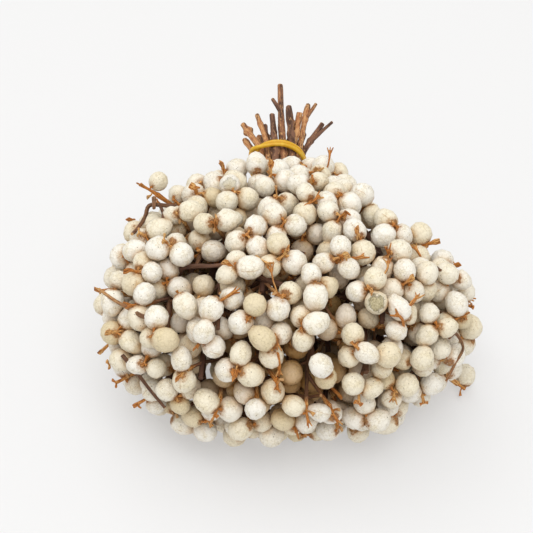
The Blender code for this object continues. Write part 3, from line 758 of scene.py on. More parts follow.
# Bare branches inside the head: how many a sprig has at most and how often each is tried, their lengths
# and bow, how far under the head's skin they stay, and their gap to the seeds and to the surface
INNER_BRANCHES = 6
INNER_BRANCH_TRIES = 6
INNER_BRANCH_LENGTHS = (9.0, 24.0)
INNER_BRANCH_BOW = 0.08
INNER_BRANCH_SKIN = -0.06
INNER_BRANCH_GAP = 0.9
INNER_BRANCH_HEIGHT = 3
# the first point of a stem that carries them
INNER_BRANCH_START = 6

# How far the noise is moved over all the seeds or strands, so that each has its own part of it: for the
# lumps and colours of the seeds, for the grain of the wood, and for its ridges
SEED_NOISE_MOVE = 83.0
GRAIN_NOISE_MOVE = 61.0
RIDGE_NOISE_MOVE = 47.0

# settings that many nodes share: a smooth step, a blend of two colours, and a vector kept at each point
SOFT_STEP = {"interpolation_type": "SMOOTHSTEP"}
BLEND = {"data_type": "RGBA", "output": 2}
SPOT = {"data_type": "FLOAT_VECTOR", "domain": "POINT"}


def linear(hex_colour):
    """An sRGB hex colour as linear red, green, blue and alpha."""
    parts = [int(hex_colour[i : i + 2], 16) / 255 for i in (1, 3, 5)]
    return tuple(c / 12.92 if c <= 0.04045 else ((c + 0.055) / 1.055) ** 2.4 for c in parts) + (1.0,)


def add_node(tree, kind, inputs=(), output=0, **settings):
    """Adds a node with its settings, gives each input its value or the socket that feeds it, and returns
    one of its outputs. The inputs are a row from the first one on, or a dictionary by name or number."""
    made = tree.nodes.new(kind)
    for name, value in settings.items():
        setattr(made, name, value)
    for key, value in dict(inputs if isinstance(inputs, dict) else enumerate(inputs)).items():
        if isinstance(value, bpy.types.NodeSocket):
            tree.links.new(value, made.inputs[key])
        else:
            made.inputs[key].default_value = value
    return made.outputs[output]


def new_material(name):
    """A material with its node tree and its shader."""
    made = bpy.data.materials.new(name)
    made.use_nodes = True
    tree = made.node_tree
    return made, tree, tree.nodes["Principled BSDF"]


def wax_material(colours):
    """Dried vegetable wax on a hard seed: a matt, creamy coat with fine wrinkles, dark specks, a yellower
    tone on some seeds and a brown scar where the seed sat on its stalk. The pattern is the same on no two
    seeds, because each one moves it by its own tone. Lengths in it are in seeds of radius 1, so 1 is about
    3.9 mm."""
    made, tree, shader = new_material("Dried wax coat of tallow seeds")
    spot = add_node(tree, "ShaderNodeAttribute", attribute_name="spot", output="Vector")
    tone, flaw, shade, painted_shade = (
        add_node(tree, "ShaderNodeAttribute", attribute_name=name, output="Fac")
        for name in ("tone", "flaw", "shade", "painted_shade")
    )
    across_seed, over_seed, along_seed = (
        add_node(tree, "ShaderNodeSeparateXYZ", [spot], output=axis) for axis in "XYZ"
    )
    moved_by = add_node(tree, "ShaderNodeMath", [tone, SEED_NOISE_MOVE], operation="MULTIPLY")
    away = add_node(tree, "ShaderNodeCombineXYZ", [moved_by])
    place = add_node(tree, "ShaderNodeVectorMath", [spot, away], operation="ADD")
    cloud = add_node(
        tree, "ShaderNodeTexNoise", {"Vector": place, "Scale": 1.3, "Detail": 3.0, "Roughness": 0.6}
    )
    fine = add_node(
        tree, "ShaderNodeTexNoise", {"Vector": place, "Scale": 7.5, "Detail": 3.0, "Roughness": 0.7}
    )

    # each seed has its own tone, from nearly white to beige, and a few have yellowed
    warm = add_node(tree, "ShaderNodeMapRange", [tone, 0.15, 0.85], **SOFT_STEP)
    clean = add_node(
        tree, "ShaderNodeMix", {0: warm, 6: linear(colours.wax), 7: linear(colours.wax_warm)}, **BLEND
    )
    old = add_node(tree, "ShaderNodeMapRange", [tone, 0.90, 0.98, 0.0, 0.5], **SOFT_STEP)
    aged = add_node(tree, "ShaderNodeMix", {0: old, 6: clean, 7: linear(colours.wax_aged)}, **BLEND)
    cloudy = add_node(tree, "ShaderNodeMapRange", [cloud, 0.42, 0.78, 0.0, 0.5], **SOFT_STEP)
    clouded = add_node(tree, "ShaderNodeMix", {0: cloudy, 6: aged, 7: linear(colours.wax_shade)}, **BLEND)

    # painted shade: the seeds inside the head are darker, and so is each seed where its neighbours lie
    # close
    shaded_in_nooks = add_node(tree, "ShaderNodeMix", {0: painted_shade, 6: clouded, 7: linear(colours.painted_shade_brown)}, **BLEND)
    shaded_by_layer = add_node(tree, "ShaderNodeMix", {0: shade, 6: shaded_in_nooks, 7: linear(colours.layer_shade_dark)}, **BLEND)

    # dust in the fine wrinkles, about a millimetre apart
    to_crease = add_node(
        tree, "ShaderNodeTexVoronoi", {"Vector": place, "Scale": 3.4}, feature="DISTANCE_TO_EDGE"
    )
    crease = add_node(tree, "ShaderNodeMapRange", [to_crease, 0.0, 0.09, 1.0, 0.0], **SOFT_STEP)
    grit = add_node(tree, "ShaderNodeMapRange", [fine, 0.50, 0.78, 0.0, 0.55], **SOFT_STEP)
    dust = add_node(tree, "ShaderNodeMath", [crease, 0.26, grit], operation="MULTIPLY_ADD")
    dusty_area = add_node(tree, "ShaderNodeMapRange", [cloud, 0.30, 0.62], **SOFT_STEP)
    dust_share = add_node(tree, "ShaderNodeMath", [dust, dusty_area], operation="MULTIPLY")
    dusty = add_node(tree, "ShaderNodeMix", {0: dust_share, 6: shaded_by_layer, 7: linear(colours.dust)}, **BLEND)

    # brown scar at the stalk end, with a stain round it, broken up by noise
    ragged = add_node(
        tree, "ShaderNodeTexNoise", {"Vector": place, "Scale": 2.6, "Detail": 3.0, "Roughness": 0.7}
    )
    scar_edge = add_node(tree, "ShaderNodeMath", [ragged, 0.55, along_seed], operation="MULTIPLY_ADD")
    stain = add_node(tree, "ShaderNodeMapRange", [scar_edge, -0.66, -0.50, 0.45, 0.0], **SOFT_STEP)
    stained = add_node(tree, "ShaderNodeMix", {0: stain, 6: dusty, 7: linear(colours.stain)}, **BLEND)
    scar = add_node(tree, "ShaderNodeMapRange", [scar_edge, -0.72, -0.64, 0.9, 0.0], **SOFT_STEP)
    scar_grain = add_node(tree, "ShaderNodeMapRange", [fine, 0.40, 0.60], **SOFT_STEP)
    scar_colour = add_node(
        tree, "ShaderNodeMix", {0: scar_grain, 6: linear(colours.scar), 7: linear(colours.stain)}, **BLEND
    )
    scarred = add_node(tree, "ShaderNodeMix", {0: scar, 6: stained, 7: scar_colour}, **BLEND)

    # a seam that runs from the scar over one side of some seeds
    bent = add_node(tree, "ShaderNodeMath", [cloud, 0.25, across_seed], operation="MULTIPLY_ADD")
    from_middle = add_node(tree, "ShaderNodeMath", [bent, 0.125], operation="SUBTRACT")
    from_seam = add_node(tree, "ShaderNodeMath", [from_middle], operation="ABSOLUTE")
    seam = add_node(tree, "ShaderNodeMapRange", [from_seam, 0.012, 0.05, 0.5, 0.0], **SOFT_STEP)
    one_side = add_node(tree, "ShaderNodeMapRange", [over_seed, 0.25, 0.6], **SOFT_STEP)
    in_part = add_node(tree, "ShaderNodeMapRange", [cloud, 0.45, 0.6], **SOFT_STEP)
    seam_side = add_node(tree, "ShaderNodeMath", [seam, one_side], operation="MULTIPLY")
    seam_share = add_node(tree, "ShaderNodeMath", [seam_side, in_part], operation="MULTIPLY")
    seamed = add_node(
        tree, "ShaderNodeMix", {0: seam_share, 6: scarred, 7: linear(colours.stain)}, **BLEND
    )

    # dark specks of about 0.3 mm, only on some of the surface, and everywhere where the coat is rough
    to_speck = add_node(tree, "ShaderNodeTexVoronoi", {"Vector": place, "Scale": 3.6}, feature="F1")
    speck = add_node(tree, "ShaderNodeMapRange", [to_speck, 0.08, 0.17, 0.9, 0.0], **SOFT_STEP)
    spread = add_node(tree, "ShaderNodeTexNoise", {"Vector": place, "Scale": 1.9, "Detail": 1.0})
    wider = add_node(tree, "ShaderNodeMath", [flaw, 0.2, spread], operation="MULTIPLY_ADD")
    speckled_area = add_node(tree, "ShaderNodeMapRange", [wider, 0.52, 0.60], **SOFT_STEP)
    speck_share = add_node(tree, "ShaderNodeMath", [speck, speckled_area], operation="MULTIPLY")
    specked = add_node(
        tree, "ShaderNodeMix", {0: speck_share, 6: seamed, 7: linear(colours.speck)}, **BLEND
    )

    # where the coat is broken at the far end, the rough grey green seed shows
    uneven = add_node(tree, "ShaderNodeMath", [ragged, 0.7, along_seed], operation="MULTIPLY_ADD")
    far_end = add_node(tree, "ShaderNodeMath", [fine, 0.3, uneven], operation="MULTIPLY_ADD")
    in_patch = add_node(tree, "ShaderNodeMapRange", [far_end, 1.15, 1.30], **SOFT_STEP)
    broken = add_node(tree, "ShaderNodeMath", [flaw, in_patch], operation="MULTIPLY")
    bare_grain = add_node(tree, "ShaderNodeMapRange", [fine, 0.40, 0.62], **SOFT_STEP)
    bare = add_node(
        tree, "ShaderNodeMix",
        {0: bare_grain, 6: linear(colours.bare_seed), 7: linear(colours.bare_grit)}, **BLEND,
    )
    final = add_node(tree, "ShaderNodeMix", {0: broken, 6: specked, 7: bare}, **BLEND)
    tree.links.new(final, shader.inputs["Base Color"])

    # wrinkles of the shrunk coat, with the creases, specks and broken patch sunk into it
    wrinkle = add_node(
        tree, "ShaderNodeTexNoise", {"Vector": place, "Scale": 3.6, "Detail": 3.0, "Roughness": 0.62}
    )
    height = add_node(tree, "ShaderNodeMath", [fine, 0.30, wrinkle], operation="MULTIPLY_ADD")
    height = add_node(tree, "ShaderNodeMath", [crease, -0.10, height], operation="MULTIPLY_ADD")
    height = add_node(tree, "ShaderNodeMath", [speck_share, -0.25, height], operation="MULTIPLY_ADD")
    height = add_node(tree, "ShaderNodeMath", [broken, -1.6, height], operation="MULTIPLY_ADD")
    relief = {"Height": height, "Strength": 0.85, "Distance": 0.6 * MM}
    tree.links.new(add_node(tree, "ShaderNodeBump", relief), shader.inputs["Normal"])
    shader.inputs["Roughness"].default_value = 0.6
    shader.inputs["IOR"].default_value = 1.45
    shader.inputs["Specular IOR Level"].default_value = 0.35
    return made


def bark_material(colours):
    """Dry thin bark on twigs, split lengthwise and rubbed to red brown on the thick stems, and the bare
    fibrous stalks of the seeds, red brown with painted shade in the hollows of their grain and a painted
    golden highlight on its ridges. The bark turns pale on its raised grain, partly worn and partly a
    painted highlight, and all the wood is darker deeper in the head, which is painted shade. The tone of
    each strand goes from bark, at 0, to stalk, at 1."""
    made, tree, shader = new_material("Dry bark and fruit stalk")
    tone, cut, run, own, depth = (
        add_node(tree, "ShaderNodeAttribute", attribute_name=name, output="Fac")
        for name in ("tone", "cut", "run", "own", "depth")
    )
    rim = add_node(tree, "ShaderNodeAttribute", attribute_name="rim", output="Vector")

    # the grain is drawn out along the strand, and each strand has its own part of the pattern
    moved_by = add_node(tree, "ShaderNodeMath", [own, GRAIN_NOISE_MOVE], operation="MULTIPLY")
    drawn_out = add_node(tree, "ShaderNodeMath", [run, 0.22], operation="MULTIPLY")
    along = add_node(tree, "ShaderNodeCombineXYZ", {"X": moved_by, "Z": drawn_out})
    place = add_node(tree, "ShaderNodeVectorMath", [rim, along], operation="ADD")
    grain = add_node(
        tree, "ShaderNodeTexNoise", {"Vector": place, "Scale": 2.6, "Detail": 5.0, "Roughness": 0.62}
    )
    patch = add_node(tree, "ShaderNodeTexNoise", {"Vector": place, "Scale": 0.7, "Detail": 2.0})

    kind = add_node(tree, "ShaderNodeMapRange", [own, 0.2, 0.8], **SOFT_STEP)
    young = add_node(
        tree, "ShaderNodeMix", {0: kind, 6: linear(colours.bark), 7: linear(colours.bark_red)}, **BLEND
    )
    old_bark = add_node(tree, "ShaderNodeMapRange", [patch, 0.36, 0.56], **SOFT_STEP)
    bark = add_node(tree, "ShaderNodeMix", {0: old_bark, 6: linear(colours.bark_dark_and_shade), 7: young}, **BLEND)
    # the bark is pale where its grain is raised: partly worn, partly a painted highlight on the ridges
    pale = add_node(tree, "ShaderNodeMath", [kind, 0.14, grain], operation="MULTIPLY_ADD")
    worn = add_node(tree, "ShaderNodeMapRange", [pale, 0.54, 0.72, 0.0, 0.9], **SOFT_STEP)
    worn_and_highlighted = add_node(tree, "ShaderNodeMix", {0: worn, 6: bark, 7: linear(colours.bark_worn_and_highlight)}, **BLEND)
    # painted shade: the wood is darker deeper in the head
    inside = add_node(tree, "ShaderNodeMath", [depth, 0.85], operation="MULTIPLY")
    deep_shaded_wood = add_node(tree, "ShaderNodeMix", {0: inside, 6: worn_and_highlighted, 7: linear(colours.bark_dark_and_shade)}, **BLEND)

    # the stalks: red brown painted shade in the hollows of the grain, orange brown sides and a golden
    # painted highlight on its ridges, some of them paler as a whole
    side = add_node(tree, "ShaderNodeMapRange", [grain, 0.36, 0.52], **SOFT_STEP)
    stalk = add_node(
        tree, "ShaderNodeMix", {0: side, 6: linear(colours.stalk_dark_and_shade), 7: linear(colours.stalk)}, **BLEND
    )
    lift = add_node(tree, "ShaderNodeMath", [own, 0.22, grain], operation="MULTIPLY_ADD")
    ridge = add_node(tree, "ShaderNodeMapRange", [lift, 0.60, 0.80, 0.0, 0.9], **SOFT_STEP)
    ridge_highlighted = add_node(tree, "ShaderNodeMix", {0: ridge, 6: stalk, 7: linear(colours.stalk_light_and_highlight)}, **BLEND)

    ripe = add_node(tree, "ShaderNodeMapRange", [tone, 0.25, 0.75], **SOFT_STEP)
    wood = add_node(tree, "ShaderNodeMix", {0: ripe, 6: deep_shaded_wood, 7: ridge_highlighted}, **BLEND)
    final = add_node(tree, "ShaderNodeMix", {0: cut, 6: wood, 7: linear(colours.cut_wood)}, **BLEND)
    tree.links.new(final, shader.inputs["Base Color"])
    relief = {"Height": grain, "Strength": 0.8, "Distance": 0.3 * MM}
    tree.links.new(add_node(tree, "ShaderNodeBump", relief), shader.inputs["Normal"])
    shader.inputs["Roughness"].default_value = 0.75
    shader.inputs["IOR"].default_value = 1.5
    return made


def rubber_material(colours):
    """Natural rubber coloured mustard yellow, cut from a tube: satin, a little dusty, faintly ribbed."""
    made, tree, shader = new_material("Yellow natural rubber")
    place = add_node(tree, "ShaderNodeTexCoord", output="Object")
    worn = add_node(tree, "ShaderNodeTexNoise", {"Vector": place, "Scale": 1 / (2.5 * MM), "Detail": 3.0})
    dust = add_node(tree, "ShaderNodeMapRange", [worn, 0.4, 0.8], **SOFT_STEP)
    tint = add_node(
        tree, "ShaderNodeMix",
        {0: dust, 6: linear(colours.rubber), 7: linear(colours.rubber_dusty)}, **BLEND,
    )
    tree.links.new(tint, shader.inputs["Base Color"])
    fine = add_node(tree, "ShaderNodeTexNoise", {"Vector": place, "Scale": 1 / (0.5 * MM)})
    relief = {"Height": fine, "Strength": 0.3, "Distance": 0.1 * MM}
    tree.links.new(add_node(tree, "ShaderNodeBump", relief), shader.inputs["Normal"])
    shader.inputs["Roughness"].default_value = 0.5
    shader.inputs["IOR"].default_value = 1.52
    shader.inputs["Subsurface Weight"].default_value = 0.1
    shader.inputs["Subsurface Scale"].default_value = 1.0 * MM
    return made


def floor_material(colours):
    """Frosted white acrylic sheet, matt and even, glowing with painted light of its own that keeps its
    shadows pale.
    """
    made, _, shader = new_material("Frosted white acrylic sheet")
    shader.inputs["Base Color"].default_value = linear(colours.floor)
    shader.inputs["Emission Color"].default_value = linear(colours.floor_painted_glow)
    shader.inputs["Emission Strength"].default_value = 1.0
    shader.inputs["Roughness"].default_value = 0.9
    shader.inputs["Specular IOR Level"].default_value = 0.2
    return made


def smooth_path(points, step):
    """Points of a smooth curve through the given ones, a step apart."""
    p = np.asarray(points, float)
    ends = np.vstack([2 * p[0] - p[1], p, 2 * p[-1] - p[-2]])
    found = []
    for k in range(1, len(ends) - 2):
        a, b, c, d = ends[k - 1 : k + 3]
        pieces = max(1, int(round(np.linalg.norm(c - b) / step)))
        for t in np.arange(pieces) / pieces:
            found.append(0.5 * (2 * b + (c - a) * t + (2 * a - 5 * b + 4 * c - d) * t ** 2
                                + (3 * b - a - 3 * c + d) * t ** 3))
    found.append(p[-1])
    return np.array(found)


def strand(points, radii, tones, depths=(0.3,), flat=0.0, cut_start=False, cut_end=False):
    """One piece of wood: its points, and its radius, tone, depth, flatness, run and cut at each of them."""
    points = np.asarray(points, float)
    count = len(points)
    radii = np.interp(np.linspace(0, 1, count), np.linspace(0, 1, len(radii)), radii)
    tones = np.interp(np.linspace(0, 1, count), np.linspace(0, 1, len(tones)), tones)
    depths = np.interp(np.linspace(0, 1, count), np.linspace(0, 1, len(depths)), depths)
    cut = np.zeros(count)
    if cut_start:
        way = (points[1] - points[0]) / np.linalg.norm(points[1] - points[0])
        points = np.insert(points, 1, points[0] + way * CUT_EDGE, axis=0)
        radii, tones = np.insert(radii, 1, radii[0]), np.insert(tones, 1, tones[0])
        depths, cut = np.insert(depths, 1, depths[0]), np.insert(cut, 0, 1.0)
    if cut_end:
        way = (points[-1] - points[-2]) / np.linalg.norm(points[-1] - points[-2])
        points = np.insert(points, -1, points[-1] - way * CUT_EDGE, axis=0)
        radii, tones = np.insert(radii, -1, radii[-1]), np.insert(tones, -1, tones[-1])
        depths, cut = np.insert(depths, -1, depths[-1]), np.append(cut, 1.0)
    run = np.concatenate([[0], np.cumsum(np.linalg.norm(np.diff(points, axis=0), axis=1))])
    return {
        "points": points, "thickness": radii, "tone": tones, "depth": depths,
        "flat": np.full(len(points), flat), "cut": cut, "run": run,
    }


def stem_strand(path, radius, rng):
    """A sprig's stem from its cut end, slimmer there and towards its tip, with a few knots."""
    points = smooth_path(path, STRAND_STEP)
    taper = np.ones(len(path))
    taper[4:] = np.linspace(1.0, STEM_TIP_SHARE, len(path) - 4)
    taper[:2] = CUT_TAPER
    made = strand(points, radius * taper, (0.0,), STEM_DEPTHS, cut_start=True)
    for _ in range(rng.integers(*KNOTS_A_STEM)):
        knot = rng.uniform(*KNOT_PLACES)
        made["thickness"] *= 1 + KNOT_SWELL * np.exp(-(((made["run"] - knot) / KNOT_LENGTH) ** 2))
    return made


def twig_strand(cluster, rng):
    """The twig of one cluster, bowed, with a swollen knot at its end."""
    root, end = cluster["root"], cluster["end"]
    reach = end - root
    length = np.linalg.norm(reach)
    bow = across(reach / length, rng) * rng.uniform(*TWIG_BOW) * min(1.0, length / 10)
    t = np.linspace(0, 1, 5)[:, None]
    points = root + reach * t + bow * np.sin(math.pi * t)
    return strand(smooth_path(points, STRAND_STEP), **TWIG)


def paddle(tip, way, side, rng):
    """A column's tip spread to one broad ribbon, bent over a little, often with a torn hook beside it."""
    far = tip + way * rng.uniform(*PADDLE_LENGTHS) + side * rng.uniform(-PADDLE_SWAY, PADDLE_SWAY)
    points = smooth_path([tip - way * 1.8, tip - way * 0.2, far], PADDLE_STEP)
    made = [strand(points, **PADDLE)]
    if rng.random() < HOOK_SHARE:
        curl = tip + side * HOOK_WIDTH - way * rng.uniform(*HOOK_DROPS)
        hook = smooth_path([tip - way * 0.6, tip + side * 1.0 + way * 0.3, curl], PADDLE_STEP)
        made.append(strand(hook, **HOOK))
    return made


def crossbar(tip, way, side, rng):
    """A column's tip split in two halves that lie square to it, with thick torn ends."""
    lift = rng.uniform(*CROSSBAR_LIFTS)
    far = rng.uniform(*CROSSBAR_FAR)
    near = rng.uniform(*CROSSBAR_NEAR)
    points = [tip + side * far + way * lift, tip - way * 0.1, tip - side * near + way * lift * 0.6]
    return [strand(smooth_path(points, CROSSBAR_STEP), **CROSSBAR)]


def split_fibres(tip, way, side, rng):
    """A column's tip split into a few fibres of unlike lengths."""
    other = np.cross(way, side)
    count = int(rng.integers(*FLARE_FIBRES))
    made = []
    for k in range(count):
        swing = (2 * k / (count - 1) - 1) * rng.uniform(*FIBRE_SWINGS)
        out = side * swing + other * rng.uniform(-FIBRE_SWAY, FIBRE_SWAY)
        base = tip - way * 1.4 + side * swing * 0.12
        fibre = [base, tip + out * 0.5 - way * 0.1, tip + out + way * rng.uniform(*FIBRE_LENGTHS)]
        made.append(strand(smooth_path(fibre, FINE_STEP), **FIBRE))
    return made


def fruit_strands(cluster, bunch, rng):
    """What is left of one fruit: its middle column with a torn tip, and a short stalk to each seed. A place
    that lost its seed keeps the bare stalk."""
    end, way = cluster["end"], cluster["way"]
    column = rng.uniform(*COLUMN_LENGTHS)
    lean = across(way, rng) * rng.uniform(0, COLUMN_LEAN)
    reach = end + way * column + lean + np.outer(TIP_REACH, way)
    gaps = np.linalg.norm(reach[:, None] - bunch["places"][None], axis=2) - bunch["sizes"][None]
    whole = rng.random() < WHOLE_COLUMNS and end[2] > LOW_CLUSTERS and gaps.min() > TIP_CLEARANCE
    if not whole:
        column = BROKEN_COLUMN
    tip = end + way * column + lean
    points = smooth_path([end - way * 0.4, end + way * column * 0.5 + lean * 0.25, tip], COLUMN_STEP)
    made = [strand(points, **COLUMN)]
    if whole:
        onward = (points[-1] - points[-2]) / np.linalg.norm(points[-1] - points[-2])
        tips = (paddle, crossbar, split_fibres)
        shaped = tips[int(rng.choice(len(tips), p=TIP_SHARES))]
        made.extend(shaped(tip, onward, across(onward, rng), rng))
    hilum = end + way * HILUM_HEIGHT
    for centre, radius in cluster["berries"]:
        out = (centre - hilum) / np.linalg.norm(centre - hilum)
        seat = centre - out * (radius - SEAT_DEPTH)
        start = end + way * min(column - STALK_BELOW_TIP, HILUM_HEIGHT * 0.8)
        middle = (start + seat) / 2 + way * 0.4
        short = smooth_path([start, middle, seat], FINE_STEP)
        made.append(strand(short, **SEED_STALK))
    if len(cluster["berries"]) < SEEDS_A_FRUIT:
        taken = sum((c - end for c, _ in cluster["berries"]), np.zeros(3)) + across(way, rng)
        free = -taken / np.linalg.norm(taken)
        start = end + way * min(column - STALK_BELOW_TIP, 2.0)
        bare = [start, start + free * 1.5 + way * 0.5, start + free * 2.9 + way * 1.8]
        made.append(strand(smooth_path(bare, BARE_STALK_STEP), **BARE_STALK, cut_end=True))
    return made


def inner_branches(bunch, number, rng):
    """Bare side branches inside the head, clear of the berries, made dark by painted shade."""
    path = bunch["paths"][number]
    made = []
    for _ in range(INNER_BRANCHES * INNER_BRANCH_TRIES):
        if len(made) == INNER_BRANCHES:
            break
        k = int(rng.integers(INNER_BRANCH_START, len(path) - 1))
        start = path[k] + (path[k + 1] - path[k]) * rng.uniform(0, 1)
        onward = (path[k + 1] - path[k]) / np.linalg.norm(path[k + 1] - path[k])
        way = onward * 0.5 + across(onward, rng)
        length = rng.uniform(*INNER_BRANCH_LENGTHS)
        end = start + way / np.linalg.norm(way) * length
        middle = (start + end) / 2 + across(way, rng) * length * INNER_BRANCH_BOW
        points = smooth_path([start, middle, end], STRAND_STEP)
        gap = np.linalg.norm(points[:, None] - bunch["places"][None], axis=2) - bunch["sizes"][None]
        inside = skin_field(points - bunch["shift"]).max() < INNER_BRANCH_SKIN
        if gap.min() > INNER_BRANCH_GAP and inside and points[:, 2].min() > INNER_BRANCH_HEIGHT:
            made.append(strand(points, **INNER_BRANCH, cut_end=True))
    return made


def picture_ways(points):
    """The ways from the camera to points of the picture, each as long as 1 mm of depth takes."""
    off = (np.array(points) - PICTURE_WIDTH / 2) * SENSOR_WIDTH / LENS_LENGTH / PICTURE_WIDTH
    right = np.array([1.0, 0, 0])
    up = np.cross(CAMERA_BACK, right)
    return np.outer(off[:, 0], right) - np.outer(off[:, 1], up) - CAMERA_BACK


def layer_depth(way, seeds):
    """How deep the middles of the seeds of the front layer lie round a way from the camera."""
    depths = -(seeds @ CAMERA_BACK)
    gaps = np.linalg.norm(seeds / depths[:, None] - way, axis=1) * CAMERA_DISTANCE
    near = [k for k in np.argsort(gaps) if gaps[k] < TWIG_ROOM]
    front = min(depths[k] for k in near)
    return np.mean([depths[k] for k in near if depths[k] < front + LAYER_DEPTH][:LAYER_SEEDS])


def front_depth(way, seeds, sizes):
    """How deep a way from the camera first meets a seed; infinite where it meets none."""
    toward = way / np.linalg.norm(way)
    along = seeds @ toward
    inside = sizes ** 2 - (seeds ** 2).sum(axis=1) + along ** 2
    met = inside > 0
    return ((along - np.sqrt(np.where(met, inside, 0)))[met]).min(initial=math.inf) / np.linalg.norm(way)


def placed_points(points, depths, degree, eye):
    """Points of the picture as points of the bunch, where their depths are smoothed along the row."""
    run = np.linspace(0, 1, len(points))
    smoothed = np.polyval(np.polyfit(run, depths, degree), run)
    return eye + picture_ways(points) * smoothed[:, None]


def shown_paths(bunch):
    """The twigs and stalks that stand out in the photo, each with its path in the bunch, its radii, tones
    and depths, and how flat it is."""
    eye = np.array(LOOK_AT) + CAMERA_BACK * CAMERA_DISTANCE + bunch["shift"]
    outer = bunch["outer"]
    seeds, sizes = bunch["places"][:outer] - eye, bunch["sizes"][:outer]
    found = []
    for points, before, radii, tones, shades in SHOWN_TWIGS:
        depths = [layer_depth(way, seeds) - before for way in picture_ways(points)]
        degree = 1 if len(points) < BENT_TWIG_POINTS else 2
        found.append((placed_points(points, depths, degree, eye), radii, tones, shades, 0.0))
    for points, radii, tones, shades, flat in SHOWN_STALKS:
        ways = picture_ways(points)
        depths = np.array([front_depth(way, seeds, sizes) for way in ways])
        depths = np.minimum(depths, depths.min() + STALK_RISE) - STALK_LIFT
        path = placed_points(points, depths, 1, eye)
        run = np.linspace(0, 1, len(points))
        sink = STALK_SINK * (run if radii[0] >= radii[-1] else 1 - run) ** 2
        found.append((path + ways * sink[:, None], radii, tones, shades, flat))
    return found


def shown_strands(bunch, rng):
    """The twigs that stand out between the seeds, each with the number of the sprig it grows on: the one
    whose clusters start nearest to it. A flat one is a fruit's column, torn at its broader end."""
    found = []
    starts = np.array([cluster["end"] for cluster in bunch["clusters"]])
    for points, radii, tones, shades, flat in shown_paths(bunch):
        path = smooth_path(points, SHOWN_STEP)
        sprig = bunch["clusters"][int(np.linalg.norm(starts - path[0], axis=1).argmin())]["sprig"]
        found.append((sprig, strand(path, radii, tones, shades, flat, cut_end=True)))
        if flat:
            tip, before = (path[0], path[1]) if radii[0] > radii[-1] else (path[-1], path[-2])
            onward = (tip - before) / np.linalg.norm(tip - before)
            side = np.cross(onward, MARK_FACES)
            torn = split_fibres(tip, onward, side / np.linalg.norm(side), rng)
            found.extend((sprig, fibre) for fibre in torn)
    return found


def strand_mesh(name, strands, rng):
    """Edges along all the strands, with what the wood tree and the bark need at each point."""
    mesh = bpy.data.meshes.new(name)
    points = np.concatenate([s["points"] for s in strands])
    # nothing goes below the surface that the bunch lies on
    lowest = SURFACE_CLEARANCE * np.concatenate([s["thickness"] for s in strands])
    points[:, 2] = np.maximum(points[:, 2], lowest)
    edges, first = [], 0
    own = []
    for s in strands:
        count = len(s["points"])
        edges.extend((first + k, first + k + 1) for k in range(count - 1))
        first += count
        own.append(np.full(count, rng.uniform()))
    mesh.from_pydata((points * MM).tolist(), edges, [])
    values = {key: np.concatenate([s[key] for s in strands]) for key in STRAND_VALUES}
    values["own"] = np.concatenate(own)
    for key, value in values.items():
        mesh.attributes.new(key, "FLOAT", "POINT").data.foreach_set("value", value.astype(np.float32))
    return mesh


def new_tree(name, *sizes):
    """A geometry tree with a mesh in, a mesh out and named inputs for its sizes."""
    tree = bpy.data.node_groups.new(name, "GeometryNodeTree")
    tree.interface.new_socket("Geometry", in_out="INPUT", socket_type="NodeSocketGeometry")
    tree.interface.new_socket("Geometry", in_out="OUTPUT", socket_type="NodeSocketGeometry")
    for label, kind in sizes:
        tree.interface.new_socket(label, in_out="INPUT", socket_type=kind)
    return tree, tree.nodes.new("NodeGroupInput").outputs, tree.nodes.new("NodeGroupOutput").inputs


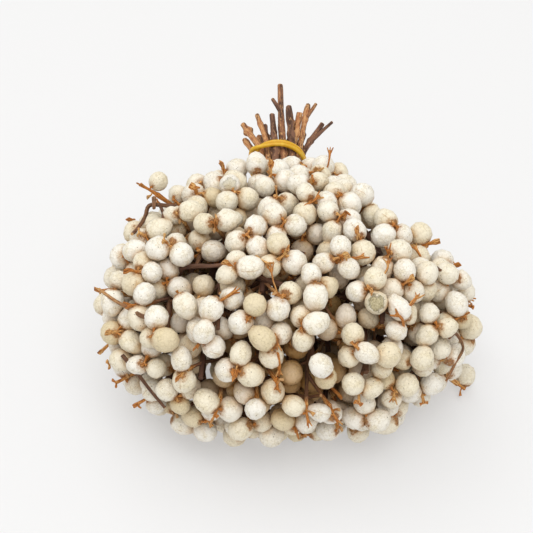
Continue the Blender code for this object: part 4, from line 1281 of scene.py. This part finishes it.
def wood_tree():
    """Turns edges into round wood with lengthwise ridges, and flattens what is a ribbon."""
    tree, given, out = new_tree(
        "Wood along edges", ("Sides", "NodeSocketInt"), ("Ridge height", "NodeSocketFloat"),
        ("Material", "NodeSocketMaterial"),
    )
    thickness, run, own, flat = (
        add_node(tree, "GeometryNodeInputNamedAttribute", {"Name": name})
        for name in ("thickness", "run", "own", "flat")
    )
    middle, side, rim = (
        add_node(tree, "GeometryNodeInputNamedAttribute", {"Name": name}, data_type="FLOAT_VECTOR")
        for name in ("middle", "side", "rim")
    )
    here = add_node(tree, "GeometryNodeInputPosition")
    normal = add_node(tree, "GeometryNodeInputNormal")

    # each point of the tube keeps the middle line, the side of a ribbon and its place on the rim
    edges = add_node(tree, "GeometryNodeMeshToCurve", [given["Geometry"]])
    lined = add_node(
        tree, "GeometryNodeStoreNamedAttribute",
        {"Geometry": edges, "Name": "middle", "Value": here}, **SPOT,
    )
    sided = add_node(
        tree, "GeometryNodeStoreNamedAttribute",
        {"Geometry": lined, "Name": "side", "Value": normal}, **SPOT,
    )
    circle = add_node(
        tree, "GeometryNodeCurvePrimitiveCircle", {"Resolution": given["Sides"], "Radius": 1.0}
    )
    section = add_node(
        tree, "GeometryNodeStoreNamedAttribute",
        {"Geometry": circle, "Name": "rim", "Value": here}, **SPOT,
    )
    thick = add_node(tree, "ShaderNodeMath", [thickness, MM], operation="MULTIPLY")
    tube = add_node(
        tree, "GeometryNodeCurveToMesh",
        {"Curve": sided, "Profile Curve": section, "Scale": thick, "Fill Caps": True},
    )

    # the ridges: noise round the rim, drawn out along the strand
    around = add_node(tree, "ShaderNodeSeparateXYZ", [rim], output="X")
    height_on_rim = add_node(tree, "ShaderNodeSeparateXYZ", [rim], output="Y")
    moved_round = add_node(
        tree, "ShaderNodeMath", [own, RIDGE_NOISE_MOVE, around], operation="MULTIPLY_ADD"
    )
    drawn_out = add_node(tree, "ShaderNodeMath", [run, 0.12], operation="MULTIPLY")
    place = add_node(tree, "ShaderNodeCombineXYZ", [moved_round, height_on_rim, drawn_out])
    ridges = add_node(tree, "ShaderNodeTexNoise", {"Vector": place, "Scale": 1.1, "Detail": 2.0})
    ridge = add_node(tree, "ShaderNodeMath", [ridges, 0.5], operation="SUBTRACT")
    share = add_node(tree, "ShaderNodeMath", [thick, given["Ridge height"]], operation="MULTIPLY")
    height = add_node(tree, "ShaderNodeMath", [ridge, share], operation="MULTIPLY")
    lift = add_node(tree, "ShaderNodeVectorMath", {0: normal, "Scale": height}, operation="SCALE")
    ridged = add_node(tree, "GeometryNodeSetPosition", {"Geometry": tube, "Offset": lift})

    # a ribbon is drawn in towards its middle along one side
    from_middle = add_node(tree, "ShaderNodeVectorMath", [here, middle], operation="SUBTRACT")
    along_side = add_node(
        tree, "ShaderNodeVectorMath", [from_middle, side], output="Value", operation="DOT_PRODUCT"
    )
    drawn_in = add_node(tree, "ShaderNodeMath", [along_side, flat], operation="MULTIPLY")
    towards = add_node(tree, "ShaderNodeMath", [drawn_in, -1.0], operation="MULTIPLY")
    press = add_node(tree, "ShaderNodeVectorMath", {0: side, "Scale": towards}, operation="SCALE")
    ribbon = add_node(tree, "GeometryNodeSetPosition", {"Geometry": ridged, "Offset": press})
    real = add_node(tree, "GeometryNodeRealizeInstances", [ribbon])
    painted = add_node(tree, "GeometryNodeSetMaterial", {"Geometry": real, "Material": given["Material"]})
    tree.links.new(painted, out["Geometry"])
    return tree


def berry_tree():
    """Sets a seed shape on each point, turned and sized by the point, and gives each its own lumps. What
    would reach below the surface is pressed flat on it."""
    tree, given, out = new_tree(
        "Berries on points", ("Forms", "NodeSocketCollection"), ("Lump height", "NodeSocketFloat"),
        ("Material", "NodeSocketMaterial"),
    )
    size = add_node(tree, "GeometryNodeInputNamedAttribute", {"Name": "size"})
    tone = add_node(tree, "GeometryNodeInputNamedAttribute", {"Name": "tone"})
    form = add_node(tree, "GeometryNodeInputNamedAttribute", {"Name": "form"}, data_type="INT")
    turn = add_node(tree, "GeometryNodeInputNamedAttribute", {"Name": "turn"}, data_type="FLOAT_VECTOR")
    spot = add_node(tree, "GeometryNodeInputNamedAttribute", {"Name": "spot"}, data_type="FLOAT_VECTOR")
    forms = add_node(
        tree, "GeometryNodeCollectionInfo",
        {"Collection": given["Forms"], "Separate Children": True, "Reset Children": True},
    )
    points = add_node(tree, "GeometryNodeMeshToPoints", [given["Geometry"]])
    turned = add_node(tree, "FunctionNodeEulerToRotation", [turn])
    set_on = add_node(
        tree, "GeometryNodeInstanceOnPoints",
        {"Points": points, "Instance": forms, "Pick Instance": True, "Instance Index": form,
         "Rotation": turned, "Scale": size},
    )
    real = add_node(tree, "GeometryNodeRealizeInstances", [set_on])

    # lumps as wide as half a seed, from another part of the noise on each seed
    moved_by = add_node(tree, "ShaderNodeMath", [tone, SEED_NOISE_MOVE], operation="MULTIPLY")
    away = add_node(tree, "ShaderNodeCombineXYZ", [moved_by])
    place = add_node(tree, "ShaderNodeVectorMath", [spot, away], operation="ADD")
    lumps = add_node(tree, "ShaderNodeTexNoise", {"Vector": place, "Scale": 0.9, "Detail": 1.5})
    lump = add_node(tree, "ShaderNodeMath", [lumps, 0.55], operation="SUBTRACT")
    height = add_node(tree, "ShaderNodeMath", [lump, given["Lump height"]], operation="MULTIPLY")
    normal = add_node(tree, "GeometryNodeInputNormal")
    lift = add_node(tree, "ShaderNodeVectorMath", {0: normal, "Scale": height}, operation="SCALE")
    lumpy = add_node(tree, "GeometryNodeSetPosition", {"Geometry": real, "Offset": lift})
    here = add_node(tree, "GeometryNodeInputPosition")
    above = add_node(tree, "ShaderNodeVectorMath", [here, (-1.0, -1.0, 0.0)], operation="MAXIMUM")
    pressed = add_node(tree, "GeometryNodeSetPosition", {"Geometry": lumpy, "Position": above})
    painted = add_node(
        tree, "GeometryNodeSetMaterial", {"Geometry": pressed, "Material": given["Material"]}
    )
    tree.links.new(painted, out["Geometry"])
    return tree


def set_input(modifier, label, value):
    """Sets a tree's input by its socket's identifier."""
    for item in modifier.node_group.interface.items_tree:
        if item.item_type == "SOCKET" and item.in_out == "INPUT" and item.name == label:
            modifier[item.identifier] = value


def made_by_tree(name, source_mesh, tree, values):
    """Runs a tree on a mesh and keeps the result as a plain object."""
    source = bpy.data.objects.new(name + "_source", source_mesh)
    bpy.context.scene.collection.objects.link(source)
    modifier = source.modifiers.new("Tree", "NODES")
    modifier.node_group = tree
    for label, value in values.items():
        set_input(modifier, label, value)
    evaluated = source.evaluated_get(bpy.context.evaluated_depsgraph_get())
    mesh = bpy.data.meshes.new_from_object(evaluated)
    mesh.name = name
    bpy.data.objects.remove(source)
    bpy.data.meshes.remove(source_mesh)
    made = bpy.data.objects.new(name, mesh)
    bpy.context.scene.collection.objects.link(made)
    return made


def finish_piece(piece, slot_name, *nodes):
    """Puts a piece on the part's body in place of its solids, which it hides. The name of its finish is not
    used.
    """
    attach(piece, BODY)
    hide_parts(*nodes)


def berry_form(name, form):
    """A seed of radius 1 with its stalk end at -Z: longer than wide, flattened on the side that lay on its
    neighbours, wedge shaped towards +X and drawn to a blunt point at the far end where the form says so."""
    shape = bmesh.new()
    bmesh.ops.create_cube(shape, size=2.0)
    bmesh.ops.subdivide_edges(shape, edges=shape.edges[:], cuts=BERRY_CELLS - 1, use_grid_fill=True)
    for vert in shape.verts:
        # even cells: the angle, not the place on the cube, is split in equal parts
        bent = Vector([math.tan(v * math.pi / 4) for v in vert.co])
        x, y, z = bent.normalized()
        point = form["point"] * math.exp(-(((1 - z) / POINT_WIDTH) ** 2))
        narrow = 1 - POINT_NARROWING * form["point"] * max(0.0, z)
        y = y * (1 - form["wedge"] * max(0.0, x))
        x = x * (1 - form["flat"]) if x < 0 else x * (1 + WEDGE_BROADENING * form["wedge"])
        width = (1.0 - LENGTH_SLIMMING * (form["length"] - 1.0)) * narrow
        vert.co = (x * width, y * width, z * form["length"] + point)
    bmesh.ops.recalc_face_normals(shape, faces=shape.faces)
    for face in shape.faces:
        face.smooth = True
    mesh = bpy.data.meshes.new(name)
    shape.to_mesh(mesh)
    shape.free()
    spots = np.array([v.co for v in mesh.vertices], np.float32)
    mesh.attributes.new("spot", "FLOAT_VECTOR", "POINT").data.foreach_set("vector", spots.ravel())
    return mesh


def seed_places(clusters, bunch, rng):
    """Where each seed of some clusters sits, how it is turned, and its size, form, tone, flaw and shade."""
    marked = {}
    for place, flaw, form in MARKED_SEEDS:
        gaps = np.linalg.norm(bunch["places"] - place - bunch["shift"], axis=1)
        marked[tuple(bunch["places"][gaps.argmin()])] = (flaw, form)
    seeds = []
    for cluster in clusters:
        for centre, radius in cluster["berries"]:
            hilum = cluster["end"] + cluster["way"] * HILUM_HEIGHT
            out = Vector([float(v) for v in centre - hilum]).normalized()
            swing = Matrix.Rotation(rng.uniform(-SEED_SWING, SEED_SWING), 3, "X")
            spin = Matrix.Rotation(rng.uniform(0, 2 * math.pi), 3, "Z")
            form = int(rng.choice(len(BERRY_FORMS), p=FORM_SHARES))
            flaw = 0.0
            if tuple(centre) in marked:
                flaw, form = marked[tuple(centre)]
            if flaw:
                out = Vector(MARK_FACES)
            turn = out.to_track_quat("Z", "Y").to_matrix() @ swing @ spin
            seeds.append(
                {"co": centre * MM, "turn": tuple(turn.to_euler()), "size": radius * MM, "form": form,
                 "tone": rng.uniform(), "flaw": flaw, "shade": LAYER_SHADES[cluster["layer"]]}
            )
    return seeds


def berry_points(name, seeds):
    """A mesh of bare points, one for each seed, that carries all about it."""
    mesh = bpy.data.meshes.new(name)
    mesh.from_pydata([tuple(map(float, seed["co"])) for seed in seeds], [], [])
    turns = np.array([seed["turn"] for seed in seeds], np.float32)
    mesh.attributes.new("turn", "FLOAT_VECTOR", "POINT").data.foreach_set("vector", turns.ravel())
    forms = np.array([seed["form"] for seed in seeds], np.int32)
    mesh.attributes.new("form", "INT", "POINT").data.foreach_set("value", forms)
    for key in ("size", "tone", "flaw", "shade"):
        values = np.array([seed[key] for seed in seeds], np.float32)
        mesh.attributes.new(key, "FLOAT", "POINT").data.foreach_set("value", values)
    return mesh


def paint_nook_shade(mesh, bunch):
    """Keeps at each point of the seeds how much painted shade darkens its coat: more where the next seed
    lies close, and more deep in the head."""
    points = np.empty(len(mesh.vertices) * 3, np.float32)
    mesh.vertices.foreach_get("co", points)
    points = points.reshape(-1, 3) / MM
    gaps = np.linalg.norm(points[:, None] - bunch["places"][None], axis=2) - bunch["sizes"][None]
    to_next = np.partition(gaps, 1, axis=1)[:, 1]
    close = NOOK_SHARE * np.exp(-np.clip(to_next, 0, None) / NOOK_WIDTH)
    depth = (-skin_field(points - bunch["shift"]) - DEEP_SHADE_DEPTHS[0]) / (DEEP_SHADE_DEPTHS[1] - DEEP_SHADE_DEPTHS[0])
    deep_shade = DEEP_SHADE_SHARE * np.clip(depth, 0, 1)
    shade_shares = (1 - (1 - close) * (1 - deep_shade)).astype(np.float32)
    mesh.attributes.new("painted_shade", "FLOAT", "POINT").data.foreach_set("value", shade_shares)


# The rubber band, wound twice round the stems
BAND_INNER_RADIUS = 9.0
BAND_STRAND = 0.74
BAND_OFFSET = 0.75
BAND_POINTS = 90
BAND_CROSSING_TURN = 2.45
BAND_CROSSING = 0.35
BAND_TILT = 0.06
BAND_ROUNDNESS = 3


def band_path(shift):
    """The middle line of the band's two laps, which change places where they cross."""
    centre = np.array([TIE_X, TIE_Y, TIE_Z]) + shift
    path = []
    steps = BAND_POINTS * 2
    for k in range(steps):
        turn = 4 * math.pi * k / steps
        lap, angle = divmod(turn, 2 * math.pi)
        crossing = 0.5 + 0.5 * math.tanh((angle - BAND_CROSSING_TURN) / BAND_CROSSING)
        roll = -math.pi / 2 + math.pi * (lap + crossing)
        out = BAND_INNER_RADIUS + BAND_STRAND + BAND_OFFSET * (abs(math.cos(roll)) + math.cos(roll))
        x, z = out * math.cos(angle), out * math.sin(angle)
        path.append(centre + (x, BAND_OFFSET * math.sin(roll) + BAND_TILT * z, z))
    return np.array(path)


class BerryColours(bpy.types.PropertyGroup):
    """Colours as sRGB hex values."""

    wax: bpy.props.StringProperty(name="Wax", description="Clean wax coat", default="#f4f0e7")
    wax_warm: bpy.props.StringProperty(name="Warm wax", description="Creamier seeds", default="#eee5cf")
    wax_shade: bpy.props.StringProperty(name="Wax shade", description="Thinner wax", default="#dccca3")
    # painted shade: brown on each seed where its neighbours lie close, and deep in the head
    painted_shade_brown: bpy.props.StringProperty(name="Wax in nooks", description="Dull edges", default="#bd8a3a")
    # painted shade: dark brown on the seeds of the deeper layers
    layer_shade_dark: bpy.props.StringProperty(name="Dull wax", description="Seeds deep inside", default="#67543a")
    wax_aged: bpy.props.StringProperty(name="Aged wax", description="Yellowed wax", default="#cdb685")
    dust: bpy.props.StringProperty(name="Dust", description="Dust in the wrinkles", default="#978460")
    stain: bpy.props.StringProperty(name="Stain", description="Stain round the stalk", default="#a9783f")
    scar: bpy.props.StringProperty(name="Scar", description="Scar at the stalk", default="#7d4a20")
    speck: bpy.props.StringProperty(name="Speck", description="Dark specks", default="#54422e")
    bare_seed: bpy.props.StringProperty(name="Bare seed", description="Broken coat", default="#bdb18a")
    bare_grit: bpy.props.StringProperty(name="Bare grit", description="Rough seed", default="#8c7f58")
    bark: bpy.props.StringProperty(name="Bark", description="Grey brown bark", default="#7a543f")
    bark_red: bpy.props.StringProperty(name="Red bark", description="Young bark", default="#a5673c")
    # dark bark: old patches of it, and painted shade on the wood deep in the head
    bark_dark_and_shade: bpy.props.StringProperty(name="Dark bark", description="Deep bark", default="#46291a")
    # pale bark on the raised grain: partly worn, partly a painted highlight
    bark_worn_and_highlight: bpy.props.StringProperty(name="Rubbed bark", description="Worn bark", default="#cc9a66")
    stalk: bpy.props.StringProperty(name="Stalk", description="Fruit stalks", default="#c07a32")
    # red brown painted shade in the hollows of the stalks' grain, and a golden painted highlight on its
    # ridges
    stalk_dark_and_shade: bpy.props.StringProperty(name="Dark stalk", description="Stalk hollows", default="#743a12")
    stalk_light_and_highlight: bpy.props.StringProperty(name="Light stalk", description="Stalk ridges", default="#eac281")
    cut_wood: bpy.props.StringProperty(name="Cut wood", description="Cut faces", default="#b98d5c")
    rubber: bpy.props.StringProperty(name="Rubber", description="Rubber band", default="#cf9d12")
    rubber_dusty: bpy.props.StringProperty(name="Dusty rubber", description="Worn part", default="#dab234")
    floor: bpy.props.StringProperty(name="Floor", description="The floor sheet", default="#b3b3b4")
    # painted light: the floor glows, though it is no lamp, and so its shadows stay pale
    floor_painted_glow: bpy.props.StringProperty(name="Floor glow", description="Its own light", default="#a1a1a2")


class BerrySizes(bpy.types.PropertyGroup):
    """Sizes of the fine relief."""

    lump_height: bpy.props.FloatProperty(
        name="Lump height", description="How far the seeds differ from a smooth form", default=0.9 * MM,
        min=0.0, unit="LENGTH", subtype="DISTANCE",
    )
    ridge_share: bpy.props.FloatProperty(
        name="Ridge height", description="Height of the bark's ridges as a share of the radius",
        default=0.55, min=0.0, max=1.0, subtype="FACTOR",
    )
    camera_distance: bpy.props.FloatProperty(
        name="Camera distance", description="From the lens to the middle of the bunch",
        default=CAMERA_DISTANCE * MM, min=0.1, unit="LENGTH", subtype="DISTANCE",
    )
    camera_height: bpy.props.FloatProperty(
        name="Camera elevation", description="Angle above the surface", default=CAMERA_HEIGHT,
        unit="ROTATION", subtype="ANGLE",
    )


def wood_piece(piece_name, strands, tree, values, rng, slot_name, node):
    """Makes one finished piece of wood from its strands."""
    piece = made_by_tree(piece_name, strand_mesh(piece_name + "_edges", strands, rng), tree, values)
    piece.data.shade_smooth()
    piece.data.set_sharp_from_angle(angle=SHARP_ANGLE)
    finish_piece(piece, slot_name, node)


def sprig_names():
    """The names of the sprigs' solids, in order."""
    return [f"sprig_{number + 1:02d}" for number in range(SPRIG_COUNT)]


class TALLOW_OT_branches(bpy.types.Operator):
    """Makes the stem of every sprig, with its side shoots"""

    bl_idname = "tallow.branches"
    bl_label = "Stems"

    def execute(self, context):
        rng = np.random.default_rng(SEED + 1)
        bunch = grown()
        tree = wood_tree()
        values = {
            "Sides": STEM_SIDES, "Ridge height": context.scene.tallow_sizes.ridge_share,
            "Material": bark_material(context.scene.tallow_colours),
        }
        for number, name in enumerate(sprig_names()):
            path, radius = bunch["paths"][number], bunch["radii"][number]
            strands = [stem_strand(path, radius, rng)]
            for stem, base, tip in bunch["shoots"]:
                if stem == number:
                    shoot = smooth_path([base, base + (tip - base) * 0.5, tip], STRAND_STEP)
                    radii = [radius * share for share in SHOOT_TAPER]
                    strands.append(strand(shoot, radii, (0.05,), cut_end=True))
            wood_piece(name + "_stem", strands, tree, values, rng, "branch", name)
        return {"FINISHED"}


class TALLOW_OT_twigs(bpy.types.Operator):
    """Makes the twigs and the stalks that carry the seeds"""

    bl_idname = "tallow.twigs"
    bl_label = "Twigs and stalks"

    def execute(self, context):
        rng = np.random.default_rng(SEED + 4)
        tree = wood_tree()
        values = {
            "Sides": TWIG_SIDES, "Ridge height": context.scene.tallow_sizes.ridge_share,
            "Material": bpy.data.materials["Dry bark and fruit stalk"],
        }
        shown = shown_strands(grown(), rng)
        for number, name in enumerate(sprig_names()):
            strands = inner_branches(grown(), number, rng)
            strands.extend(made for sprig, made in shown if sprig == number)
            for cluster in grown()["clusters"]:
                if cluster["sprig"] == number:
                    strands.append(twig_strand(cluster, rng))
                    strands.extend(fruit_strands(cluster, grown(), rng))
            wood_piece(name + "_twigs", strands, tree, values, rng, "stalk", name)
        return {"FINISHED"}


class TALLOW_OT_berries(bpy.types.Operator):
    """Sets the wax coated seeds on every sprig"""

    bl_idname = "tallow.berries"
    bl_label = "Berries"

    def execute(self, context):
        rng = np.random.default_rng(SEED + 2)
        forms = bpy.data.collections.new("berry forms")
        context.scene.collection.children.link(forms)
        for k, form in enumerate(BERRY_FORMS):
            forms.objects.link(bpy.data.objects.new(f"form_{k}", berry_form(f"form_{k}", form)))
        tree = berry_tree()
        wax = wax_material(context.scene.tallow_colours)
        for number, name in enumerate(sprig_names()):
            clusters = [c for c in grown()["clusters"] if c["sprig"] == number]
            mesh = berry_points(name + "_points", seed_places(clusters, grown(), rng))
            values = {
                "Forms": forms, "Lump height": context.scene.tallow_sizes.lump_height, "Material": wax,
            }
            piece = made_by_tree(name + "_berries", mesh, tree, values)
            paint_nook_shade(piece.data, grown())
            finish_piece(piece, "berry", name)
        for form in list(forms.objects):
            bpy.data.objects.remove(form)
        bpy.data.collections.remove(forms)
        return {"FINISHED"}


class TALLOW_OT_band(bpy.types.Operator):
    """Makes the rubber band that is wound twice round the stems"""

    bl_idname = "tallow.band"
    bl_label = "Rubber band"

    def execute(self, context):
        path = band_path(grown()["shift"])
        curve = bpy.data.curves.new("rubber_band_curve", "CURVE")
        curve.dimensions = "3D"
        curve.bevel_depth = BAND_STRAND * MM
        curve.bevel_resolution = BAND_ROUNDNESS
        spline = curve.splines.new("POLY")
        spline.points.add(len(path) - 1)
        for spot, point in zip(spline.points, path):
            spot.co = (*[float(v) * MM for v in point], 1)
        spline.use_cyclic_u = True
        source = bpy.data.objects.new("rubber_band_source", curve)
        context.scene.collection.objects.link(source)
        evaluated = source.evaluated_get(context.evaluated_depsgraph_get())
        mesh = bpy.data.meshes.new_from_object(evaluated)
        bpy.data.objects.remove(source)
        bpy.data.curves.remove(curve)
        mesh.materials.clear()
        mesh.materials.append(rubber_material(context.scene.tallow_colours))
        mesh.shade_smooth()
        piece = bpy.data.objects.new("rubber_band_strands", mesh)
        context.scene.collection.objects.link(piece)
        finish_piece(piece, "rubber", "rubber_band")
        return {"FINISHED"}


# The stage, in metres. The lamps are a little cooler than the light that the room gives back
FLOOR_SIZE = 8.0
LAMPS = (
    {"name": "key", "place": (-0.3, 0.3, 1.3), "size": 1.2, "watts": 6.2},
    {"name": "fill", "place": (0.1, -0.7, 1.5), "size": 1.1, "watts": 13.2},
)
LAMP_COLOUR = (0.96, 0.985, 1.0)
ROOM_COLOUR = (1.0, 0.965, 0.90, 1.0)
ROOM_STRENGTH = 0.69
CLIP_START = 0.01


def area_light(name, place, target, size, watts):
    """A soft square lamp that points at the target."""
    light = bpy.data.lights.new(name, "AREA")
    light.shape = "SQUARE"
    light.size = size
    light.energy = watts
    light.color = LAMP_COLOUR
    made = bpy.data.objects.new(name, light)
    made.location = place
    made.rotation_euler = (Vector(target) - Vector(place)).to_track_quat("-Z", "Y").to_euler()
    bpy.context.scene.collection.objects.link(made)


class TALLOW_OT_stage(bpy.types.Operator):
    """Sets the pale floor, the soft studio light and the camera"""

    bl_idname = "tallow.stage"
    bl_label = "Stage"

    def execute(self, context):
        bpy.ops.mesh.primitive_plane_add(size=FLOOR_SIZE)
        floor = context.active_object
        floor.name = "floor"
        floor.data.materials.append(floor_material(context.scene.tallow_colours))
        sizes = context.scene.tallow_sizes
        target = Vector([float(v) * MM for v in np.array(LOOK_AT) + grown()["shift"]])
        for lamp in LAMPS:
            area_light(target=target, **lamp)
        world = bpy.data.worlds.new("Even white room")
        world.use_nodes = True
        world.node_tree.nodes["Background"].inputs["Color"].default_value = ROOM_COLOUR
        world.node_tree.nodes["Background"].inputs["Strength"].default_value = ROOM_STRENGTH
        context.scene.world = world
        context.scene.view_settings.view_transform = "Standard"
        camera = bpy.data.objects.new("camera", bpy.data.cameras.new("camera"))
        camera.data.lens = LENS_LENGTH
        camera.data.sensor_width = SENSOR_WIDTH
        camera.data.clip_start = CLIP_START
        back = Vector((0, -math.cos(sizes.camera_height), math.sin(sizes.camera_height)))
        camera.location = target + back * sizes.camera_distance
        camera.rotation_euler = (-back).to_track_quat("-Z", "Y").to_euler()
        context.scene.collection.objects.link(camera)
        context.scene.camera = camera
        return {"FINISHED"}


class TALLOW_PT_panel(bpy.types.Panel):
    """Lists the steps that make the bunch"""

    bl_idname = "TALLOW_PT_panel"
    bl_label = "Tallow berry bunch"
    bl_space_type = "VIEW_3D"
    bl_region_type = "UI"
    bl_category = "Tallow berries"

    def draw(self, context):
        for operator in OPERATORS:
            self.layout.operator(operator.bl_idname)


OPERATORS = (TALLOW_OT_branches, TALLOW_OT_twigs, TALLOW_OT_berries, TALLOW_OT_band, TALLOW_OT_stage)
CLASSES = (BerryColours, BerrySizes, *OPERATORS, TALLOW_PT_panel)


def register():
    """Registers the classes and puts the values on the scene."""
    for item in CLASSES:
        bpy.utils.register_class(item)
    bpy.types.Scene.tallow_colours = bpy.props.PointerProperty(type=BerryColours)
    bpy.types.Scene.tallow_sizes = bpy.props.PointerProperty(type=BerrySizes)


def unregister():
    """Takes the values and the classes away again."""
    del bpy.types.Scene.tallow_sizes
    del bpy.types.Scene.tallow_colours
    for item in reversed(CLASSES):
        bpy.utils.unregister_class(item)


def main():
    """Makes the whole bunch and its stage."""
    register()
    bpy.ops.tallow.branches()
    bpy.ops.tallow.twigs()
    bpy.ops.tallow.berries()
    bpy.ops.tallow.band()
    bpy.ops.tallow.stage()


if __name__ == "__main__":
    main()
